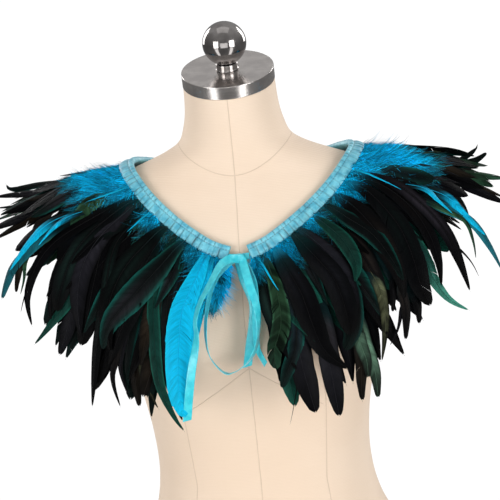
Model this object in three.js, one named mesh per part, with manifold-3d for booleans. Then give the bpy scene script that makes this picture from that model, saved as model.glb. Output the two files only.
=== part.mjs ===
// A feather cape tied over a limbless dress form that stands on its flat base.
// Millimetres, +Z up. The front faces -Y, and left and right are the wearer's, so left is +X.

import * as THREE from "three";
import { mergeVertices } from "three/addons/utils/BufferGeometryUtils.js";
import Module from "manifold-3d";

const wasm = await Module();
wasm.setup();

// Dress form: one row for each ring, from the base to the top of the neck. front and back are the ring's
// depths from its centre, square is the exponent of its superellipse, lean tips it towards the front.
const FORM_RINGS = [
  { z: 0, y: 0, half: 164, front: 101, back: 117, square: 2.4, lean: 0 },
  { z: 42, y: 0, half: 168, front: 103, back: 120, square: 2.4, lean: 0 },
  { z: 110, y: 0, half: 154, front: 99, back: 109, square: 2.35, lean: 0 },
  { z: 168, y: 0, half: 128, front: 91, back: 90, square: 2.3, lean: 0 },
  { z: 215, y: 0, half: 119, front: 86, back: 80, square: 2.3, lean: 0 },
  { z: 265, y: 0, half: 121, front: 90, back: 82, square: 2.3, lean: 0 },
  { z: 318, y: 0, half: 130, front: 95, back: 88, square: 2.3, lean: 0 },
  { z: 350, y: 0, half: 135, front: 96, back: 92, square: 2.35, lean: 0 },
  { z: 380, y: 0, half: 139, front: 97, back: 96, square: 2.4, lean: 0 },
  { z: 410, y: 0, half: 145, front: 96, back: 99, square: 2.5, lean: 0 },
  { z: 440, y: 0, half: 154, front: 91, back: 101, square: 2.6, lean: 0 },
  { z: 470, y: 0, half: 168, front: 82, back: 101, square: 2.7, lean: 0 },
  { z: 498, y: 0, half: 180, front: 71, back: 96, square: 2.7, lean: 0 },
  { z: 518, y: 1, half: 184, front: 62, back: 88, square: 2.6, lean: 0 },
  { z: 534, y: 2, half: 172, front: 56, back: 78, square: 2.4, lean: 0 },
  { z: 549, y: 4, half: 138, front: 52, back: 67, square: 2.1, lean: 0 },
  { z: 561, y: 5, half: 106, front: 51, back: 59, square: 2, lean: 0 },
  { z: 572, y: 5, half: 79, front: 51, back: 55, square: 2, lean: 0 },
  { z: 583, y: 4, half: 62, front: 51, back: 53, square: 2, lean: 2 },
  { z: 599, y: 2, half: 55, front: 51, back: 51, square: 2, lean: 5 },
  { z: 619, y: -2, half: 51, front: 50, back: 50, square: 2, lean: 10 },
  { z: 646.5, y: -8, half: 49.5, front: 49, back: 49, square: 2, lean: 16.2 },
];
const FORM_SIDES = 36;
const FORM_STEPS = 31;
const FORM_MIN_RING = 0.001;
const BUST = { apart: 76, height: 376, swell: 27, across: 44, above: 60, below: 36 };

// Cap on the neck: a steel disc, a short collar and a ball.
const CAP = { radius: 50, thick: 14.3, edge: 1.2, sides: 40 };
const COLLAR = { radius: 12, foot: 12.6, height: 7.6 };
const BALL = { radius: 23.6, sides: 24, rings: 14 };
const SEAM_GAP = 0.3;

// Neckline of the cape on the wearer's left, from the centre front round to the centre back. x, y and z are
// the middle of the band before it is laid on the form, clear is its height over the form, root and tip are
// the directions of a feather where it leaves the band and at its end, and reach scales its length.
const NECKLINE = [
  { x: 11, y: -84, z: 473, clear: 1, rootX: 0.1, rootY: -0.5, rootZ: -0.86, tipX: 0.1, tipY: 0, tipZ: -1, reach: 0.86 },
  { x: 34, y: -82, z: 483, clear: 1, rootX: 0.24, rootY: -0.48, rootZ: -0.84, tipX: 0.19, tipY: -0.04, tipZ: -0.98, reach: 0.97 },
  { x: 66, y: -74, z: 506, clear: 1, rootX: 0.46, rootY: -0.48, rootZ: -0.74, tipX: 0.26, tipY: -0.1, tipZ: -0.96, reach: 1 },
  { x: 94.5, y: -58, z: 529.5, clear: 1.5, rootX: 0.7, rootY: -0.46, rootZ: -0.55, tipX: 0.4, tipY: -0.12, tipZ: -0.91, reach: 1 },
  { x: 115, y: -34, z: 550, clear: 3, rootX: 0.86, rootY: -0.33, rootZ: -0.36, tipX: 0.62, tipY: -0.12, tipZ: -0.77, reach: 1 },
  { x: 125, y: 2, z: 562, clear: 5, rootX: 0.98, rootY: -0.02, rootZ: -0.17, tipX: 0.92, tipY: 0, tipZ: -0.4, reach: 0.86 },
  { x: 115, y: 38, z: 555, clear: 3.5, rootX: 0.87, rootY: 0.38, rootZ: -0.3, tipX: 0.66, tipY: 0.2, tipZ: -0.72, reach: 0.97 },
  { x: 86, y: 66, z: 544, clear: 1.5, rootX: 0.62, rootY: 0.62, rootZ: -0.48, tipX: 0.4, tipY: 0.22, tipZ: -0.89, reach: 1 },
  { x: 45, y: 84, z: 535, clear: 1, rootX: 0.3, rootY: 0.68, rootZ: -0.66, tipX: 0.18, tipY: 0.16, tipZ: -0.97, reach: 1 },
  { x: 0, y: 90, z: 531, clear: 1, rootX: 0, rootY: 0.68, rootZ: -0.73, tipX: 0, tipY: 0.14, tipZ: -0.99, reach: 1 },
];
// The cape is worn a little to the wearer's left at the shoulders, and not at the centre front.
const WORN_SHIFT = 5;
// Each side's own growth of the reach: more is added round the place at, over the spread.
const SIDE_REACH = [
  { side: -1, at: 0.2, spread: 0.07, more: 0.13 },
  { side: -1, at: 0.36, spread: 0.07, more: -0.06 },
  { side: 1, at: 0.33, spread: 0.1, more: -0.15 },
];
// The front edges sweep apart: the tips next to the opening lie this far aside.
const SWEEP = { left: 4, right: 34, over: 0.16, from: 30, to: 190 };

// Band: one ribbon folded over the tops of the feather strips. across runs down over the form, away from
// the neck, and out runs away from the form.
const BAND = { width: 16, thick: 6.4, wall: 1.1, lift: 0.5, pleats: 72, ripple: 0.55 };
// The row of stitching dips into the band's face, and the folded edge next to the neck is rounded.
const STITCH = { at: -2.6, dip: 0.4, swellFrom: 5 };
const FOLD = { rounds: 1, drop: 0.6, side: 2.4 };
const BAND_STEPS_A_PLEAT = 2;

// Feather strips: three rows inside the fold of the band, each in stretches that stand clear of each other.
const STRIP = { top: -5, bottom: 5, thick: 0.7, pitch: 1.1, first: 2.45, step: 13, endGap: 0.6 };
const STRETCHES = [
  { name: "front", from: 0, to: 0.36 },
  { name: "shoulder", from: 0.36, to: 0.654 },
  { name: "back", from: 0.654, to: 1 },
];
const ROWS = [
  { name: "under", length: 196, feathers: 26 },
  { name: "middle", length: 178, feathers: 25 },
  { name: "top", length: 152, feathers: 24 },
];
const FEATHER = { width: 25, rootWidth: 4.2, ridge: 1.3, rootRidge: 0.5, start: 0.5, leaves: 9, grows: 50 };
// Sections of a feather: how far along it each lies past the band, and its width as a share of the widest.
// Its first section lies inside the strip.
const FEATHER_SECTIONS = [
  { along: 0, width: 0 },
  { along: 0.1, width: 0.3 },
  { along: 0.3, width: 0.75 },
  { along: 0.55, width: 1 },
  { along: 0.84, width: 0.85 },
  { along: 1, width: 0.1 },
];
// The share of the room between neighbours that a feather fills, and where along it they part into two levels.
const WIDTH_OF_ROOM = 0.86;
const LEVELS_PART_AT = 40.6;
const LENGTH_VARIES = 0.07;
const FAN = { straight: 8.5, turned: 32, fallen: 200, step: 4 };
const LEVELS = { row: 4.5, odd: 2.5, spreadFrom: 9, spreadTo: 58, overForm: 2.5 };

// Ribbon tie at the centre front. Each path is the middle of a ribbon, and turn is the angle of its face
// from facing the front.
const RIBBON = { width: 9, thick: 1, steps: 3 };
const TIE_PATHS = {
  tie_loop: [
    { x: -7, y: -93, z: 466.5, turn: 70 },
    { x: -16, y: -100, z: 461.5, turn: 66 },
    { x: -24, y: -111, z: 454.5, turn: 60 },
    { x: -31, y: -123, z: 441, turn: 60 },
    { x: -37, y: -139, z: 415, turn: 66 },
    { x: -37.5, y: -146, z: 388, turn: 74 },
    { x: -32, y: -139, z: 369, turn: 82 },
    { x: -20, y: -134, z: 356, turn: 84 },
    { x: -4, y: -131, z: 361, turn: 76 },
    { x: 9, y: -130, z: 375, turn: 64 },
    { x: 16, y: -129, z: 397, turn: 72 },
    { x: 16.5, y: -126, z: 422, turn: 44 },
    { x: 10.5, y: -117, z: 444, turn: 14 },
    { x: 4.2, y: -97.6, z: 464.5, turn: 0 },
  ],
  tie_tail_centre: [
    { x: 0, y: -93, z: 462.3, turn: 0 },
    { x: 3.5, y: -101, z: 447, turn: 10 },
    { x: 11.5, y: -109, z: 424, turn: 12 },
    { x: 9.5, y: -112, z: 402, turn: 6 },
    { x: 5, y: -114, z: 382, turn: 0 },
    { x: 0, y: -115, z: 357, turn: -4 },
  ],
  tie_tail_left: [
    { x: 7.4, y: -91.4, z: 463.6, turn: 64 },
    { x: 14.5, y: -107.5, z: 446, turn: 44 },
    { x: 14.5, y: -119, z: 422, turn: 30 },
    { x: 13, y: -120, z: 398, turn: 30 },
    { x: 12.5, y: -121, z: 378, turn: 40 },
    { x: 20, y: -123, z: 360, turn: 46 },
  ],
  tie_tail_right: [
    { x: -2, y: -96.4, z: 470, turn: 4 },
    { x: -9, y: -102.5, z: 471.5, turn: 20 },
    { x: -19, y: -113, z: 467, turn: 42 },
    { x: -30, y: -129, z: 452, turn: 56 },
    { x: -40, y: -143.5, z: 437, turn: 62 },
    { x: -46.5, y: -150.5, z: 420, turn: 62 },
    { x: -46.5, y: -153.5, z: 404, turn: 52 },
    { x: -49, y: -155, z: 390, turn: 34 },
    { x: -54.5, y: -157, z: 369, turn: 14 },
    { x: -60, y: -157, z: 342, turn: 2 },
    { x: -65, y: -154, z: 314, turn: 0 },
  ],
};
const KNOT = { x: 0, y: -92.4, z: 469, width: 11, depth: 6, height: 11, bevel: 1.6 };
const BRIDGE = { y: -88.5, z: 470.5, height: 7, thick: 1.2, endGap: 0.2 };

const COLOURS = {
  form: [0xead7bd, 0.9, 0],
  steel: [0xb9b9bb, 0.3, 1],
  chrome: [0xd0cfd0, 0.08, 1],
  satin: [0x4fb6cc, 0.42, 0],
  ribbon: [0x21b7cb, 0.35, 0],
  feather: [0x10201f, 0.45, 0],
};

// Catmull-Rom through the rows of a table, column by column; place counts rows from the first.
function between(rows, place) {
  const last = rows.length - 1;
  const i = Math.min(Math.max(Math.floor(place), 0), last - 1);
  const f = place - i;
  const row = (k) => rows[Math.min(Math.max(k, 0), last)];
  const made = {};
  for (const column of Object.keys(rows[0])) {
    const [a, b, c, d] = [row(i - 1), row(i), row(i + 1), row(i + 2)].map((r) => r[column]);
    made[column] = b + 0.5 * f * (c - a + f * (2 * a - 5 * b + 4 * c - d + f * (3 * (b - c) + d - a)));
  }
  return made;
}

const ease = (x) => {
  const f = Math.min(Math.max(x, 0), 1);
  return f * f * (3 - 2 * f);
};

// A repeatable number from -1 to 1 for each piece, so that no two feathers are quite alike.
const vary = (index, salt) => {
  const x = Math.sin(index * 12.9898 + salt * 78.233) * 43758.5453;
  return 2 * (x - Math.floor(x)) - 1;
};

// A closed mesh from points and triangles; the winding is turned round if it came out inside out.
function solid(points, triangles) {
  const made = (faces) =>
    new wasm.Manifold(
      new wasm.Mesh({
        numProp: 3,
        vertProperties: new Float32Array(points.flatMap((p) => [p.x, p.y, p.z])),
        triVerts: new Uint32Array(faces.flat()),
      }),
    );
  const first = made(triangles);
  return first.volume() > 0 ? first : made(triangles.map(([a, b, c]) => [a, c, b]));
}

function geometryOf(body) {
  const mesh = body.getMesh();
  return new THREE.BufferGeometry()
    .setAttribute("position", new THREE.BufferAttribute(new Float32Array(mesh.vertProperties), 3))
    .setIndex(new THREE.BufferAttribute(new Uint32Array(mesh.triVerts), 1));
}

function bodyOf(geometry) {
  const bare = geometry.clone();
  bare.deleteAttribute("normal");
  bare.deleteAttribute("uv");
  const merged = mergeVertices(bare, 1e-3);
  return new wasm.Manifold(
    new wasm.Mesh({
      numProp: 3,
      vertProperties: new Float32Array(merged.attributes.position.array),
      triVerts: new Uint32Array(merged.index.array),
    }),
  );
}

const fanOf = (sides) => Array.from({ length: sides - 2 }, (_, i) => [0, i + 1, i + 2]);

// Skins a stack of rings that all have the same number of points, and closes both ends with those faces.
function skin(rings, faces = fanOf(rings[0].length)) {
  const sides = rings[0].length;
  const points = rings.flat();
  const triangles = [];
  for (let j = 0; j + 1 < rings.length; j++) {
    for (let i = 0; i < sides; i++) {
      const a = j * sides + i;
      const b = j * sides + ((i + 1) % sides);
      triangles.push([a, b, b + sides], [a, b + sides, a + sides]);
    }
  }
  const last = (rings.length - 1) * sides;
  for (const [a, b, c] of faces) triangles.push([b, a, c], [last + a, last + b, last + c]);
  return solid(points, triangles);
}

// Dress form

function bustSwell(x, z) {
  const tall = z > BUST.height ? BUST.above : BUST.below;
  const rise = Math.exp(-(((z - BUST.height) / tall) ** 2));
  const side = Math.exp(-(((Math.abs(x) - BUST.apart) / BUST.across) ** 2));
  return BUST.swell * rise * side;
}

function formPoint(ring, angle) {
  const c = Math.cos(angle);
  const s = Math.sin(angle);
  const x = ring.half * Math.sign(c) * Math.abs(c) ** (2 / ring.square);
  const depth = s < 0 ? ring.front + bustSwell(x, ring.z) : ring.back;
  const y = depth * Math.sign(s) * Math.abs(s) ** (2 / ring.square);
  const lean = THREE.MathUtils.degToRad(ring.lean);
  return new THREE.Vector3(x, ring.y + y * Math.cos(lean), ring.z + y * Math.sin(lean));
}

function ringAtHeight(z) {
  let [low, high] = [0, FORM_RINGS.length - 1];
  for (let k = 0; k < 40; k++) {
    const middle = (low + high) / 2;
    if (between(FORM_RINGS, middle).z < z) low = middle;
    else high = middle;
  }
  return between(FORM_RINGS, low);
}

// Over 0 outside the form and under 0 inside it; used below the neck, where the rings don't lean.
function formValue(p) {
  const ring = ringAtHeight(p.z);
  const depth = p.y < ring.y ? ring.front + bustSwell(p.x, p.z) : ring.back;
  const wide = (Math.abs(p.x) / ring.half) ** ring.square;
  const deep = (Math.abs(p.y - ring.y) / depth) ** ring.square;
  return (wide + deep) ** (1 / ring.square) - 1;
}

function formSlope(p) {
  const h = 0.5;
  const along = (axis) => {
    const [a, b] = [p.clone(), p.clone()];
    a[axis] += h;
    b[axis] -= h;
    return (formValue(a) - formValue(b)) / (2 * h);
  };
  return new THREE.Vector3(along("x"), along("y"), along("z"));
}

function formGap(p) {
  return formValue(p) / Math.max(formSlope(p).length(), FORM_MIN_RING);
}

function formNormal(p) {
  return formSlope(p).normalize();
}

// Moves a point straight out of the form, or back to it, until it lies at that height over it.
function laidOnForm(p, gap) {
  const placed = p.clone();
  for (let k = 0; k < 6; k++) {
    placed.addScaledVector(formNormal(placed), gap - formGap(placed));
  }
  return placed;
}

function makeForm() {
  const rings = [];
  for (let j = 0; j <= FORM_STEPS; j++) {
    const ring = between(FORM_RINGS, (j / FORM_STEPS) * (FORM_RINGS.length - 1));
    const outline = [];
    for (let i = 0; i < FORM_SIDES; i++) outline.push(formPoint(ring, (2 * Math.PI * i) / FORM_SIDES));
    rings.push(outline);
  }
  return skin(rings);
}

// Parts of the cap are turned on the neck's own axis, which leans with its top ring.
function onNeck(profile, sides, lift) {
  const top = FORM_RINGS[FORM_RINGS.length - 1];
  const turned = new THREE.LatheGeometry(profile, sides);
  turned.rotateX(Math.PI / 2 + THREE.MathUtils.degToRad(top.lean));
  const lean = THREE.MathUtils.degToRad(top.lean);
  const axis = new THREE.Vector3(0, -Math.sin(lean), Math.cos(lean));
  const foot = new THREE.Vector3(0, top.y, top.z).addScaledVector(axis, lift);
  turned.translate(foot.x, foot.y, foot.z);
  return bodyOf(turned);
}

function makeCap() {
  const { radius, thick, edge, sides } = CAP;
  const profile = [
    [0, 0],
    [radius - edge, 0],
    [radius, edge],
    [radius, thick - edge],
    [radius - edge, thick],
    [0, thick],
  ].map(([r, h]) => new THREE.Vector2(r, h));
  return onNeck(profile, sides, SEAM_GAP);
}

function makeCollar() {
  const { radius, foot, height } = COLLAR;
  const profile = [
    [0, 0],
    [foot, 0],
    [foot, 1],
    [radius, 1.6],
    [radius, height - 0.8],
    [radius - 0.8, height],
    [0, height],
  ].map(([r, h]) => new THREE.Vector2(r, h));
  return onNeck(profile, CAP.sides / 2, 2 * SEAM_GAP + CAP.thick);
}

function makeBall() {
  const { radius, sides, rings } = BALL;
  // The ball is cut flat where it sits on the collar.
  const seat = COLLAR.radius - 2;
  const lowest = -Math.acos(seat / radius);
  const highest = Math.PI / 2;
  const profile = [new THREE.Vector2(0, radius * Math.sin(lowest))];
  for (let k = 0; k < rings; k++) {
    const angle = lowest + ((highest - lowest) * k) / rings;
    profile.push(new THREE.Vector2(radius * Math.cos(angle), radius * Math.sin(angle)));
  }
  profile.push(new THREE.Vector2(0, radius));
  const lift = 3 * SEAM_GAP + CAP.thick + COLLAR.height - radius * Math.sin(lowest);
  return onNeck(profile, sides, lift);
}

// Neckline

const NECK_SAMPLES = 240;

function laidNeckline() {
  const spots = [];
  for (let k = 0; k <= NECK_SAMPLES; k++) {
    const row = between(NECKLINE, (k / NECK_SAMPLES) * (NECKLINE.length - 1));
    spots.push({ row, at: laidOnForm(new THREE.Vector3(row.x, row.y, row.z), row.clear) });
  }
  const lengths = [0];
  for (let k = 1; k <= NECK_SAMPLES; k++) {
    lengths.push(lengths[k - 1] + spots[k].at.distanceTo(spots[k - 1].at));
  }
  return { spots, lengths, total: lengths[NECK_SAMPLES] };
}
const LAID = laidNeckline();

// The neckline on the wearer's left at t, from 0 at the centre front to 1 at the centre back.
function neckAt(t) {
  const want = Math.min(Math.max(t, 0), 1) * LAID.total;
  let k = 1;
  while (k < NECK_SAMPLES && LAID.lengths[k] < want) k++;
  const f = (want - LAID.lengths[k - 1]) / (LAID.lengths[k] - LAID.lengths[k - 1]);
  const [a, b] = [LAID.spots[k - 1], LAID.spots[k]];
  const row = {};
  for (const column of Object.keys(a.row)) row[column] = a.row[column] * (1 - f) + b.row[column] * f;
  return { row, at: a.at.clone().lerp(b.at, f) };
}

// The band's own axes at t: along it, across it and down over the form, and out of the form.
function bandFrame(t) {
  const h = 0.012;
  const { row, at } = neckAt(t);
  const along = neckAt(Math.min(t + h, 1)).at.sub(neckAt(Math.max(t - h, 0)).at);
  // At the centre back the two halves meet square, and the centre front keeps its slant.
  if (t > 1 - h) along.set(-1, 0, 0);
  along.normalize();
  const out = formNormal(laidOnForm(at, 0));
  out.addScaledVector(along, -out.dot(along)).normalize();
  const across = new THREE.Vector3().crossVectors(along, out).normalize();
  return { row, at, along, out, across };
}

// How far the worn shift moves a point of the cape sideways: not at the centre front, fully at the shoulders.
const shiftAt = (t) => WORN_SHIFT * ease(t / 0.4);

// A point of the wearer's right side is the left one mirrored, and the worn shift is the same for both.
function sided(p, side, t) {
  return new THREE.Vector3(side * p.x + shiftAt(t), p.y, p.z);
}

// Band

function bandProfile(pleat) {
  const { width, thick, wall, lift, ripple } = BAND;
  const [low, high] = [-width / 2, width / 2];
  const [under, over] = [lift, lift + thick];
  const raised = ripple * pleat;
  return [
    [high, over + raised / 2],
    [STITCH.at + STITCH.swellFrom, over + raised],
    [STITCH.at, over - STITCH.dip],
    [low + FOLD.rounds, over - FOLD.drop + raised / 2],
    [low, over - FOLD.side],
    [low, under],
    [high, under],
    [high, under + wall],
    [low + wall, under + wall],
    [low + wall, over - wall - STITCH.dip],
    [high, over - wall - STITCH.dip],
  ];
}

function makeBand() {
  const rings = [];
  const steps = BAND.pleats * BAND_STEPS_A_PLEAT;
  for (let j = 0; j <= steps; j++) {
    const q = (2 * j) / steps - 1;
    const side = q < 0 ? -1 : 1;
    const t = 1 - Math.abs(q);
    const { at, across, out } = bandFrame(t);
    const pleat = j % 2 ? 1 : vary(j, 3) * 0.5;
    rings.push(
      bandProfile(pleat).map(([u, n]) =>
        sided(at.clone().addScaledVector(across, u).addScaledVector(out, n), side, t),
      ),
    );
  }
  const outline = bandProfile(0).map(([u, n]) => new THREE.Vector2(u, n));
  return skin(rings, THREE.ShapeUtils.triangulateShape(outline, []));
}

// Feathers

// A feather's middle line leaves the band along its face, turns to the root direction, then falls to the tip's.
const lineMemory = new Map();
function fanLine(t, side) {
  const key = side * Math.round(1 + t * 1e6);
  if (lineMemory.has(key)) return lineMemory.get(key);
  const { row, at, across, out } = bandFrame(t);
  const root = new THREE.Vector3(row.rootX, row.rootY, row.rootZ).normalize();
  const tip = new THREE.Vector3(row.tipX, row.tipY, row.tipZ).normalize();
  const points = [at.clone().addScaledVector(out, STRIP.first)];
  for (let d = 0; d < FAN.fallen * 1.3; d += FAN.step) {
    const middle = d + FAN.step / 2;
    const turned = ease((middle - FAN.straight) / (FAN.turned - FAN.straight));
    const fallen = ease((middle - FAN.turned) / (FAN.fallen - FAN.turned));
    const way = across.clone().lerp(root, turned).lerp(tip, fallen * turned).normalize();
    points.push(points[points.length - 1].clone().addScaledVector(way, FAN.step));
  }
  const aside = (side > 0 ? SWEEP.left : SWEEP.right) * (1 - ease(t / SWEEP.over));
  points.forEach((p, k) => {
    p.x += aside * ease((k * FAN.step - SWEEP.from) / (SWEEP.to - SWEEP.from));
  });
  lineMemory.set(key, points);
  return points;
}

function fanPoint(t, d, side) {
  const line = fanLine(t, side);
  const k = Math.min(Math.floor(d / FAN.step), line.length - 2);
  return line[k].clone().lerp(line[k + 1], d / FAN.step - k);
}

// A place on the fan with its axes: down the feather, over its width, and out of the cape. level lifts it.
function fanFrame(t, d, lift, side) {
  const h = 0.01;
  const [before, after] = [Math.max(t - h, 0), Math.min(t + h, 1)];
  const base = fanPoint(t, d, side);
  const down = fanPoint(t, d + 2, side).sub(fanPoint(t, Math.max(d - 2, 0), side)).normalize();
  const wide = fanPoint(after, d, side).sub(fanPoint(before, d, side));
  const room = wide.length() / (after - before);
  wide.addScaledVector(down, -wide.dot(down)).normalize();
  const out = new THREE.Vector3().crossVectors(down, wide).normalize();
  const at = base.addScaledVector(out, lift);
  const clear = LEVELS.overForm + lift;
  for (let k = 0; k < 3; k++) {
    const short = clear - formGap(at);
    if (d > FAN.turned && short > 0) at.addScaledVector(formNormal(at), short);
  }
  return { at, down, wide, out, room };
}

function featherLift(row, odd, d) {
  const spread = ease((d - LEVELS.spreadFrom) / (LEVELS.spreadTo - LEVELS.spreadFrom));
  return STRIP.pitch * row + (LEVELS.row * row + LEVELS.odd * odd) * spread;
}

function reachAt(t, side) {
  let reach = bandFrame(t).row.reach;
  for (const extra of SIDE_REACH) {
    if (extra.side === side) reach += extra.more * Math.exp(-(((t - extra.at) / extra.spread) ** 2));
  }
  return reach;
}

function featherBlade(rowIndex, index, side, t) {
  // Neighbours lie at two levels in turn, also across the centre back.
  const odd = (side > 0 ? index : index + 1) % 2;
  const salt = rowIndex * 10 + side;
  const length = ROWS[rowIndex].length * reachAt(t, side) * (1 + LENGTH_VARIES * vary(index, salt));
  const step = 1 / ROWS[rowIndex].feathers;
  const sections = FEATHER_SECTIONS.map(({ along, width }) => ({
    d: FEATHER.leaves + along * (length - FEATHER.leaves),
    width,
  }));
  const rings = [{ d: FEATHER.start, width: 0 }, ...sections].map(({ d, width }) => {
    const { at, wide, out, room } = fanFrame(t, d, featherLift(rowIndex, odd, d), side);
    const wanted = FEATHER.rootWidth + width * (FEATHER.width - FEATHER.rootWidth);
    // Neighbours that share a level are two steps apart, and near the root every one is beside the next.
    const free = room * step * (d < LEVELS_PART_AT ? 1 : 2) * WIDTH_OF_ROOM;
    const half = Math.min(wanted, Math.max(free, FEATHER.rootWidth)) / 2;
    const grown = ease((d - FEATHER.leaves) / FEATHER.grows);
    const ridge = FEATHER.rootRidge + (FEATHER.ridge - FEATHER.rootRidge) * grown;
    return [
      at.clone().addScaledVector(wide, -half).addScaledVector(out, -ridge / 2),
      at.clone().addScaledVector(wide, half).addScaledVector(out, -ridge / 2),
      at.clone().addScaledVector(out, ridge / 2),
    ].map((p) => sided(p, side, t));
  });
  return skin(rings);
}

function stripBody(rowIndex, side, from, to) {
  const steps = Math.max(2, Math.round(((to - from) * LAID.total) / STRIP.step));
  const middle = STRIP.first + STRIP.pitch * rowIndex;
  const corners = [
    [STRIP.top, middle - STRIP.thick / 2],
    [STRIP.bottom, middle - STRIP.thick / 2],
    [STRIP.bottom, middle + STRIP.thick / 2],
    [STRIP.top, middle + STRIP.thick / 2],
  ];
  const rings = [];
  for (let j = 0; j <= steps; j++) {
    const t = from + ((to - from) * j) / steps;
    const { at, across, out } = bandFrame(t);
    rings.push(
      corners.map(([u, n]) => sided(at.clone().addScaledVector(across, u).addScaledVector(out, n), side, t)),
    );
  }
  return skin(rings);
}

function makeStretch(rowIndex, side, stretch) {
  const gap = STRIP.endGap / LAID.total;
  const bodies = [stripBody(rowIndex, side, stretch.from + gap, stretch.to - gap)];
  for (let i = 0; i < ROWS[rowIndex].feathers; i++) {
    const t = (i + 0.5) / ROWS[rowIndex].feathers;
    if (t > stretch.from && t < stretch.to) bodies.push(featherBlade(rowIndex, i, side, t));
  }
  return wasm.Manifold.union(bodies);
}

// Ribbon tie

function ribbonBody(path) {
  const steps = (path.length - 1) * RIBBON.steps;
  const spots = [];
  for (let j = 0; j <= steps; j++) spots.push(between(path, (j / steps) * (path.length - 1)));
  const at = spots.map((s) => new THREE.Vector3(s.x, s.y, s.z));
  const front = new THREE.Vector3(0, -1, 0);
  const rings = at.map((p, j) => {
    const down = at[Math.min(j + 1, steps)].clone().sub(at[Math.max(j - 1, 0)]).normalize();
    const face = front.clone().addScaledVector(down, -front.dot(down)).normalize();
    face.applyAxisAngle(down, THREE.MathUtils.degToRad(spots[j].turn));
    const wide = new THREE.Vector3().crossVectors(down, face);
    const corner = (w, n) =>
      p.clone().addScaledVector(wide, (w * RIBBON.width) / 2).addScaledVector(face, (n * RIBBON.thick) / 2);
    return [corner(-1, -1), corner(1, -1), corner(1, 1), corner(-1, 1)];
  });
  return skin(rings);
}

function makeKnot() {
  const { x, y, z, width, depth, height, bevel } = KNOT;
  const outline = new THREE.Shape();
  const [w, h] = [width / 2 - bevel, height / 2 - bevel];
  outline.moveTo(-w, -h);
  outline.quadraticCurveTo(0, -h - 1, w, -h);
  outline.quadraticCurveTo(w + 1, 0, w, h);
  outline.quadraticCurveTo(0, h + 1, -w, h);
  outline.quadraticCurveTo(-w - 1, 0, -w, -h);
  const block = new THREE.ExtrudeGeometry(outline, {
    depth: depth - 2 * bevel,
    bevelEnabled: true,
    bevelThickness: bevel,
    bevelSize: bevel,
    bevelSegments: 2,
    curveSegments: 3,
  });
  block.rotateX(Math.PI / 2);
  block.translate(x, y + depth / 2 - bevel, z);
  return bodyOf(block);
}

function makeBridge() {
  const { y, z, height, thick, endGap } = BRIDGE;
  const reach = bandFrame(0).at.x - endGap;
  const strip = new THREE.BoxGeometry(2 * reach, thick, height);
  strip.translate(0, y, z);
  return bodyOf(strip);
}

const group = new THREE.Group();

function add(name, body, look) {
  const [color, roughness, metalness] = COLOURS[look];
  const material = new THREE.MeshStandardMaterial({ color, roughness, metalness });
  const mesh = new THREE.Mesh(geometryOf(body), material);
  mesh.name = name;
  group.add(mesh);
}

add("dress_form", makeForm(), "form");
add("neck_cap", makeCap(), "steel");
add("cap_collar", makeCollar(), "chrome");
add("cap_ball", makeBall(), "chrome");
add("neck_band", makeBand(), "satin");
ROWS.forEach((row, rowIndex) => {
  for (const stretch of STRETCHES) {
    add(`feathers_${row.name}_${stretch.name}_left`, makeStretch(rowIndex, 1, stretch), "feather");
    add(`feathers_${row.name}_${stretch.name}_right`, makeStretch(rowIndex, -1, stretch), "feather");
  }
});
add("tie_bridge", makeBridge(), "ribbon");
add("tie_knot", makeKnot(), "ribbon");
for (const [name, path] of Object.entries(TIE_PATHS)) add(name, ribbonBody(path), "ribbon");

export default group;
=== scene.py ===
"""Looks of a feather cape tied over a limbless dress form.

Tables are in millimetres, and every mesh is made in metres. The front faces -Y, +Z is up, and left and right
are the wearer's, so left is +X.
"""

import math

import bpy
import numpy as np
from mathutils import Matrix, Vector


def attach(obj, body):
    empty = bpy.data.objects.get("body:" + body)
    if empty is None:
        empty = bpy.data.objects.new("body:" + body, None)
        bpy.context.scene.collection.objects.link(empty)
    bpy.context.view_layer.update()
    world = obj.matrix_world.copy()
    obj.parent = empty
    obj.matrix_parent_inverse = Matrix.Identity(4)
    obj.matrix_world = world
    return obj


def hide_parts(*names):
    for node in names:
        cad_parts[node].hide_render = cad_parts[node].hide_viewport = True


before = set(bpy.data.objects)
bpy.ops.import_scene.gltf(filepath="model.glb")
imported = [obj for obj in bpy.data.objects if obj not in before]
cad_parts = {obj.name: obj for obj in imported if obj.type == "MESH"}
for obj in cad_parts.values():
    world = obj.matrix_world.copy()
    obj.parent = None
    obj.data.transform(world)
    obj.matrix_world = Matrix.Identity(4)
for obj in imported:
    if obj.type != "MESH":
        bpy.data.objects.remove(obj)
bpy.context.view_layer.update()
MM = 0.001

# Dress form: rings from the base to the top of the neck, as z, y, half width, front depth, back depth,
# exponent of the superellipse, and lean to the front in degrees.
FORM_RINGS = [
    (0, 0, 164, 101, 117, 2.4, 0),
    (42, 0, 168, 103, 120, 2.4, 0),
    (110, 0, 154, 99, 109, 2.35, 0),
    (168, 0, 128, 91, 90, 2.3, 0),
    (215, 0, 119, 86, 80, 2.3, 0),
    (265, 0, 121, 90, 82, 2.3, 0),
    (318, 0, 130, 95, 88, 2.3, 0),
    (350, 0, 135, 96, 92, 2.35, 0),
    (380, 0, 139, 97, 96, 2.4, 0),
    (410, 0, 145, 96, 99, 2.5, 0),
    (440, 0, 154, 91, 101, 2.6, 0),
    (470, 0, 168, 82, 101, 2.7, 0),
    (498, 0, 180, 71, 96, 2.7, 0),
    (518, 1, 184, 62, 88, 2.6, 0),
    (534, 2, 172, 56, 78, 2.4, 0),
    (549, 4, 138, 52, 67, 2.1, 0),
    (561, 5, 106, 51, 59, 2, 0),
    (572, 5, 79, 51, 55, 2, 0),
    (583, 4, 62, 51, 53, 2, 2),
    (599, 2, 55, 51, 51, 2, 5),
    (619, -2, 51, 50, 50, 2, 10),
    (646.5, -8, 49.5, 49, 49, 2, 16.2),
]
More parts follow.
